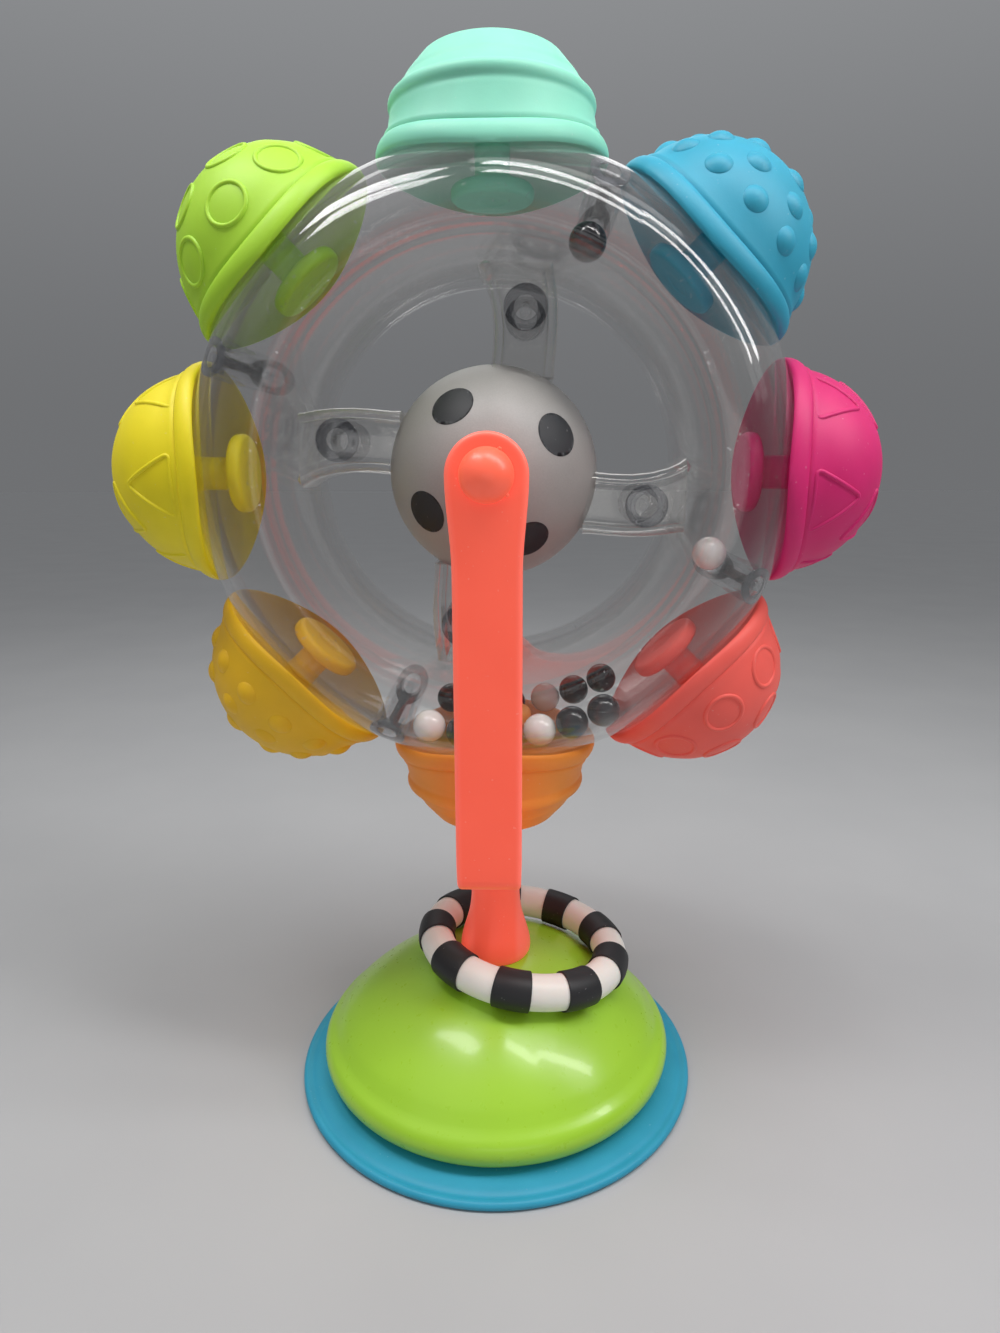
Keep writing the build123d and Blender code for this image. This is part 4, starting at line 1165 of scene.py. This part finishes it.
    def frame_pieces(self) -> list[Piece]:
        """Model the spokes, and the columns of the bosses round the wheel with their rings of
        painted shade.
        """
        spoke = self.spoke()
        small = self.boss("spoke_boss", 4.5, self.spoke_half_depth - 1.0, 2.4)
        large = self.boss("rim_boss", 3.85, self.rim_boss_half, 2.1, self.under_skin)
        upright = Matrix.Rotation(math.radians(90), 4, "X")
        middle = Matrix.Translation(AXLE * MM)
        spokes, columns, painted_shade_rings = [], [], []
        places = []
        for i in range(4):
            turn = Matrix.Rotation(math.radians(-90.0 * i), 4, "Y")
            spokes.append(Workbench.repeat(spoke, f"spoke_{i}", middle @ turn))
            x, z = self.spoke_boss
            spot = Matrix.Translation(Vector((x, 0, z)) * MM)
            places.append((small, middle @ turn @ spot @ upright))
        for angle in self.rim_boss_angles:
            turn = Matrix.Rotation(math.radians(-angle), 4, "Y")
            spot = Matrix.Translation(Vector((self.rim_boss_circle, 0, 0)) * MM)
            places.append((large, middle @ turn @ spot @ upright))
        for i, ((column, collar), place) in enumerate(places):
            columns.append(Workbench.repeat(column, f"column_{i}", place))
            painted_shade_rings.append(Workbench.repeat(collar, f"collar_{i}", place))
        for master in (spoke, *small, *large):
            bpy.data.objects.remove(master)
        joined = []
        for group, name, finish in (
            (spokes, "spokes_set", Palette.SPOKE),
            (columns, "boss_columns_set", Palette.COLUMN),
            (painted_shade_rings, "boss_painted_shade_set", Palette.PAINTED_SHADE_RING),
        ):
            whole = Workbench.join(group, name)
            finish.paint(whole)
            joined.append(whole)
        return joined

    def hub(self) -> list[Piece]:
        """Model the frosted hub halves, bored for the axle, and dress their flush dots."""
        bore = math.degrees(math.acos(3.0 / self.hub_radius))
        inner = self.hub_radius - 2.0
        profile = [
            *arc((0.0, 0.0), (self.hub_radius, self.hub_radius), 0.2, bore, 44),
            *arc((0.0, 0.0), (inner, inner), bore - 0.8, 0.2, 24),
        ]
        pieces = []
        for side, end in ((-1, "front"), (1, "rear")):
            half = Workbench.lathe(f"hub_{end}_body", [*profile, profile[0]], 128, crease=45)
            Workbench.settle(half, along_axle(side))
            pieces.append(Palette.HUB.dress(half, f"hub_{end}_shell"))
            pieces.append(
                Workbench.cast(f"hub_dots_{end}", f"hub_dots_{end}_set", Palette.DOT)
            )
        return pieces

    def build(self) -> list[Piece]:
        """Model the wheel's clear and frosted pieces."""
        front, rear = self.ring_half(-1), self.ring_half(1)
        Palette.CLEAR.dress(front, "wheel_front_shell")
        Palette.CLEAR.dress(rear, "wheel_rear_shell")
        return [front, rear, *self.frame_pieces(), *self.hub()]


@dataclass
class Beads:
    """Loose beads in the ring."""

    radius: float = 3.5
    groups: tuple[tuple[str, Palette, str], ...] = (
        ("black_beads", Palette.BEAD_BLACK, "bead_pile"),
        ("white_beads", Palette.BEAD_WHITE, "bead_pile"),
        ("white_bead_on_boss", Palette.BEAD_WHITE, "wheel"),
        ("black_bead_on_wall", Palette.BEAD_BLACK, "wheel"),
    )
    circle: float = 54.457
    row: float = 12.3
    front: tuple[tuple[float, str], ...] = (
        (-104.5, "white"), (-96.9, "black"), (-88.2, "black"), (-79.4, "white"),
        (-71.9, "black"), (-64.4, "black"),
    )
    rear: tuple[tuple[float, str], ...] = (
        (-101.5, "black"), (-93.9, "white"), (-86.3, "black"), (-77.5, "white"),
        (-70.0, "black"), (-62.5, "black"),
    )

    def ball(self) -> Piece:
        """Model one bead with a faint mould seam and two tiny gate flats."""
        points = []
        for i in range(33):
            turn = math.radians(-90 + 180 * i / 32)
            ridge = 0.035 if i == 16 else 0.0
            points.append(
                ((self.radius + ridge) * math.cos(turn), self.radius * 0.997 * math.sin(turn))
            )
        return Workbench.lathe("bead", points, 40, crease=60)

    def spots(self, node: str) -> list[Vector]:
        """Centres of a node's beads, in millimetres."""
        if node.endswith("_beads"):
            colour = node.split("_")[0]
            rows = ((-self.row, self.front), (self.row, self.rear))
            found = [(a, depth) for depth, row in rows for a, tone in row if tone == colour]
            return [self.on_wheel(self.circle, a, depth) for a, depth in found]
        low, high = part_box(node)
        return [(low + high) / 2 / MM]

    def on_wheel(self, reach: float, angle: float, depth: float) -> Vector:
        """Point at a radius, an angle and a depth on the wheel."""
        turn = math.radians(angle)
        return AXLE + Vector((reach * math.cos(turn), depth, reach * math.sin(turn)))

    def build(self) -> list[Piece]:
        """Model every bead."""
        ball = self.ball()
        pieces = []
        for node, finish, _ in self.groups:
            balls = []
            for i, spot in enumerate(self.spots(node)):
                tilt = Matrix.Rotation(0.7 + 1.3 * i, 4, Vector((0.3, 1.0, 0.5 * i + 0.2)))
                place = Matrix.Translation(spot * MM) @ tilt
                balls.append(Workbench.repeat(ball, f"{node}_{i}", place))
            pieces.append(finish.dress(Workbench.join(balls, f"{node}_set"), node))
        bpy.data.objects.remove(ball)
        return pieces


@dataclass
class TeetherRing:
    """Loose ring with a white core and black sleeves, leaning on the base."""

    radius: float = 21.5
    tube: float = 4.0
    sleeve: float = 0.45
    sleeve_arc: float = 20.0
    sleeve_turn: float = 7.0
    count: int = 9
    centre: tuple[float, float, float] = (6.8, 2.0, 30.0391)
    axis: tuple[float, float, float] = (0.129475, 0.038081, 0.990851)

    def place(self) -> Matrix:
        """Place of the ring, with +Z along its own axis."""
        return Matrix.Translation(Vector(self.centre) * MM) @ point_at(Vector(self.axis))

    def core(self) -> Piece:
        """Model the round white core."""
        profile = arc((self.radius, 0.0), (self.tube, self.tube), -180, 180, 28)
        piece = Workbench.lathe("teether_core_body", profile, 144, crease=60)
        Palette.RING_WHITE.dress(piece, "teether_ring_core")
        return Workbench.settle(piece, self.place())

    def sleeve_piece(self) -> Piece:
        """Model one sleeve: a round tube section spun through an arc, with soft ends."""
        bpy.ops.object.select_all(action="DESELECT")
        bpy.ops.mesh.primitive_circle_add(
            vertices=36,
            radius=(self.tube + self.sleeve) * MM,
            location=(self.radius * MM, 0, 0),
            rotation=(math.pi / 2, 0, 0),
        )
        piece = bpy.context.object
        piece.name = piece.data.name = "sleeve"
        bpy.ops.object.transform_apply(location=True, rotation=True, scale=True)
        bpy.ops.object.mode_set(mode="EDIT")
        bpy.ops.mesh.select_all(action="SELECT")
        bpy.ops.mesh.spin(
            steps=10, angle=math.radians(self.sleeve_arc), center=(0, 0, 0), axis=(0, 0, 1)
        )
        bpy.ops.object.mode_set(mode="OBJECT")
        Workbench.heal(piece)
        Workbench.finish(piece, "SOLIDIFY", thickness=(self.sleeve - 0.03) * MM, offset=-1.0)
        Workbench.finish(
            piece,
            "BEVEL",
            width=0.3 * MM,
            segments=3,
            limit_method="ANGLE",
            angle_limit=math.radians(50),
        )
        Workbench.smooth(piece, 60)
        return piece

    def build(self) -> list[Piece]:
        """Model the ring's core and sleeves."""
        sleeve = self.sleeve_piece()
        sleeves = []
        for i in range(self.count):
            turn = Matrix.Rotation(math.radians(self.sleeve_turn + 360 / self.count * i), 4, "Z")
            sleeves.append(Workbench.repeat(sleeve, f"sleeve_{i}", self.place() @ turn))
        bpy.data.objects.remove(sleeve)
        whole = Workbench.join(sleeves, "teether_sleeves_set")
        return [self.core(), Palette.RING_BLACK.dress(whole, "teether_ring_sleeves")]


@dataclass(frozen=True)
class SoftLight:
    """One rectangular softbox, in millimetres and watts."""

    name: str
    spot: tuple[float, float, float]
    along: tuple[float, float, float]
    size: tuple[float, float]
    power: float

    def hang(self, aim: Vector) -> None:
        """Hang the light so that it faces a point, with its first side along a direction."""
        bpy.ops.object.light_add(type="AREA", location=Vector(self.spot) * MM)
        lamp = bpy.context.object
        lamp.name = f"{self.name}_light"
        lamp.data.shape = "RECTANGLE"
        lamp.data.size, lamp.data.size_y = self.size[0] * MM, self.size[1] * MM
        lamp.data.energy = self.power
        back = (Vector(self.spot) - aim).normalized()
        side = Vector(self.along)
        side = (side - back * side.dot(back)).normalized()
        lamp.rotation_euler = Matrix((side, back.cross(side), back)).transposed().to_euler()


@dataclass
class Studio:
    """Pale floor, soft lights and the camera."""

    camera_at: tuple[float, float, float] = (6.37, -183.86, 144.86)
    yaw: float = -0.028
    pitch: float = 0.237
    roll: float = -0.003
    focal_px: float = 838.8
    frame_px: float = 1333.0
    horizon: Colour = (0.1595, 0.1635, 0.170)
    zenith: Colour = (0.40, 0.41, 0.425)
    lights: tuple[SoftLight, ...] = (
        SoftLight("left_window", (-168, -64, 499), (0.8, -0.6, 0.0), (230, 76), 0.8),
        SoftLight("top_window", (92, -120, 511), (0.9, -0.33, -0.3), (240, 46), 0.62),
        SoftLight("right_window", (288, -100, 391), (0.66, 0.2, -0.72), (260, 40), 0.58),
        SoftLight("key", (-300, -380, 560), (1.0, 0.0, 0.0), (520, 420), 0.2),
        SoftLight("ceiling", (150, -60, 640), (1.0, 0.0, -0.2), (420, 90), 0.3),
        SoftLight("side", (420, -160, 380), (0.0, 1.0, 0.0), (120, 260), 0.12),
        SoftLight("back", (-60, 420, 460), (1.0, 0.0, 0.0), (420, 160), 0.3),
        SoftLight("low", (60, -520, 120), (1.0, 0.0, 0.0), (420, 120), 0.15),
    )

    def floor(self) -> None:
        """Lay the floor, with a finish that reads as pale matt board."""
        bpy.ops.object.select_all(action="DESELECT")
        bpy.ops.mesh.primitive_plane_add(size=9.0, location=(0, 0, 0))
        board = bpy.context.object
        board.name = "studio_floor"
        bench = ShaderBench("studio_board")
        cloud = bench.noise(60.0, 3.0)
        material = bench.surface(
            Base_Color=bench.blend(cloud, (0.41, 0.41, 0.415), (0.46, 0.46, 0.46)),
            Roughness=0.75,
        )
        board.data.materials.append(material)

    def world(self) -> None:
        """Fill the surroundings with a soft grey that meets the floor without a line."""
        sky = bpy.data.worlds.new("studio_world")
        sky.use_nodes = True
        nodes, links = sky.node_tree.nodes, sky.node_tree.links
        place = nodes.new("ShaderNodeTexCoord")
        parts = nodes.new("ShaderNodeSeparateXYZ")
        share = nodes.new("ShaderNodeMapRange")
        share.interpolation_type = "SMOOTHSTEP"
        share.inputs["From Min"].default_value = 0.02
        share.inputs["From Max"].default_value = 0.9
        blend = nodes.new("ShaderNodeMix")
        blend.data_type = "RGBA"
        blend.inputs[6].default_value = (*self.horizon, 1)
        blend.inputs[7].default_value = (*self.zenith, 1)
        links.new(place.outputs["Generated"], parts.inputs[0])
        links.new(parts.outputs[2], share.inputs["Value"])
        links.new(share.outputs[0], blend.inputs["Factor"])
        links.new(blend.outputs[2], nodes["Background"].inputs["Color"])
        bpy.context.scene.world = sky
        bpy.context.scene.view_settings.view_transform = "Standard"

    def camera(self) -> None:
        """Stand the camera where the photograph was taken from."""
        bpy.ops.object.camera_add(location=Vector(self.camera_at) * MM)
        shot = bpy.context.object
        shot.name = "photo_camera"
        ahead = Vector(
            (
                math.sin(self.yaw) * math.cos(self.pitch),
                math.cos(self.yaw) * math.cos(self.pitch),
                -math.sin(self.pitch),
            )
        )
        right = Vector((math.cos(self.yaw), -math.sin(self.yaw), 0))
        up = right.cross(ahead)
        lens = Matrix((right, up, -ahead)).transposed()
        shot.rotation_euler = (lens @ Matrix.Rotation(self.roll, 3, "Z")).to_euler()
        shot.data.sensor_fit = "AUTO"
        shot.data.sensor_width = 36.0
        shot.data.lens = self.focal_px / self.frame_px * shot.data.sensor_width
        shot.data.clip_start = 0.005
        bpy.context.scene.camera = shot

    def build(self) -> None:
        """Set the whole studio."""
        self.floor()
        self.world()
        for light in self.lights:
            light.hang(Vector((0, 0, 110.0)))
        self.camera()


def carry(pieces: Iterable[Piece], body: str) -> None:
    """Let pieces ride on a body, and report each one."""
    for piece in pieces:
        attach(piece, body)
        log.info("%s rides on %s with %d faces", piece.name, body, len(piece.data.polygons))


def main() -> None:
    """Build the studio and the toy, sub-assembly by sub-assembly."""
    logging.basicConfig(level=logging.INFO, format="%(name)s: %(message)s")
    Studio().build()
    base = SuctionBase()
    carry(base.build(), "base")
    carry(ForkStand().build(base), "base")
    carry(SoftDomes().build(), "wheel")
    carry(BeadWheel().build(), "wheel")
    beads = Beads()
    for piece, (_, _, body) in zip(beads.build(), beads.groups):
        carry([piece], body)
    core, sleeves = TeetherRing().build()
    carry([core], "teether_core")
    carry([sleeves], "teether_sleeves")
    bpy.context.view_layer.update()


if __name__ == "__main__":
    main()
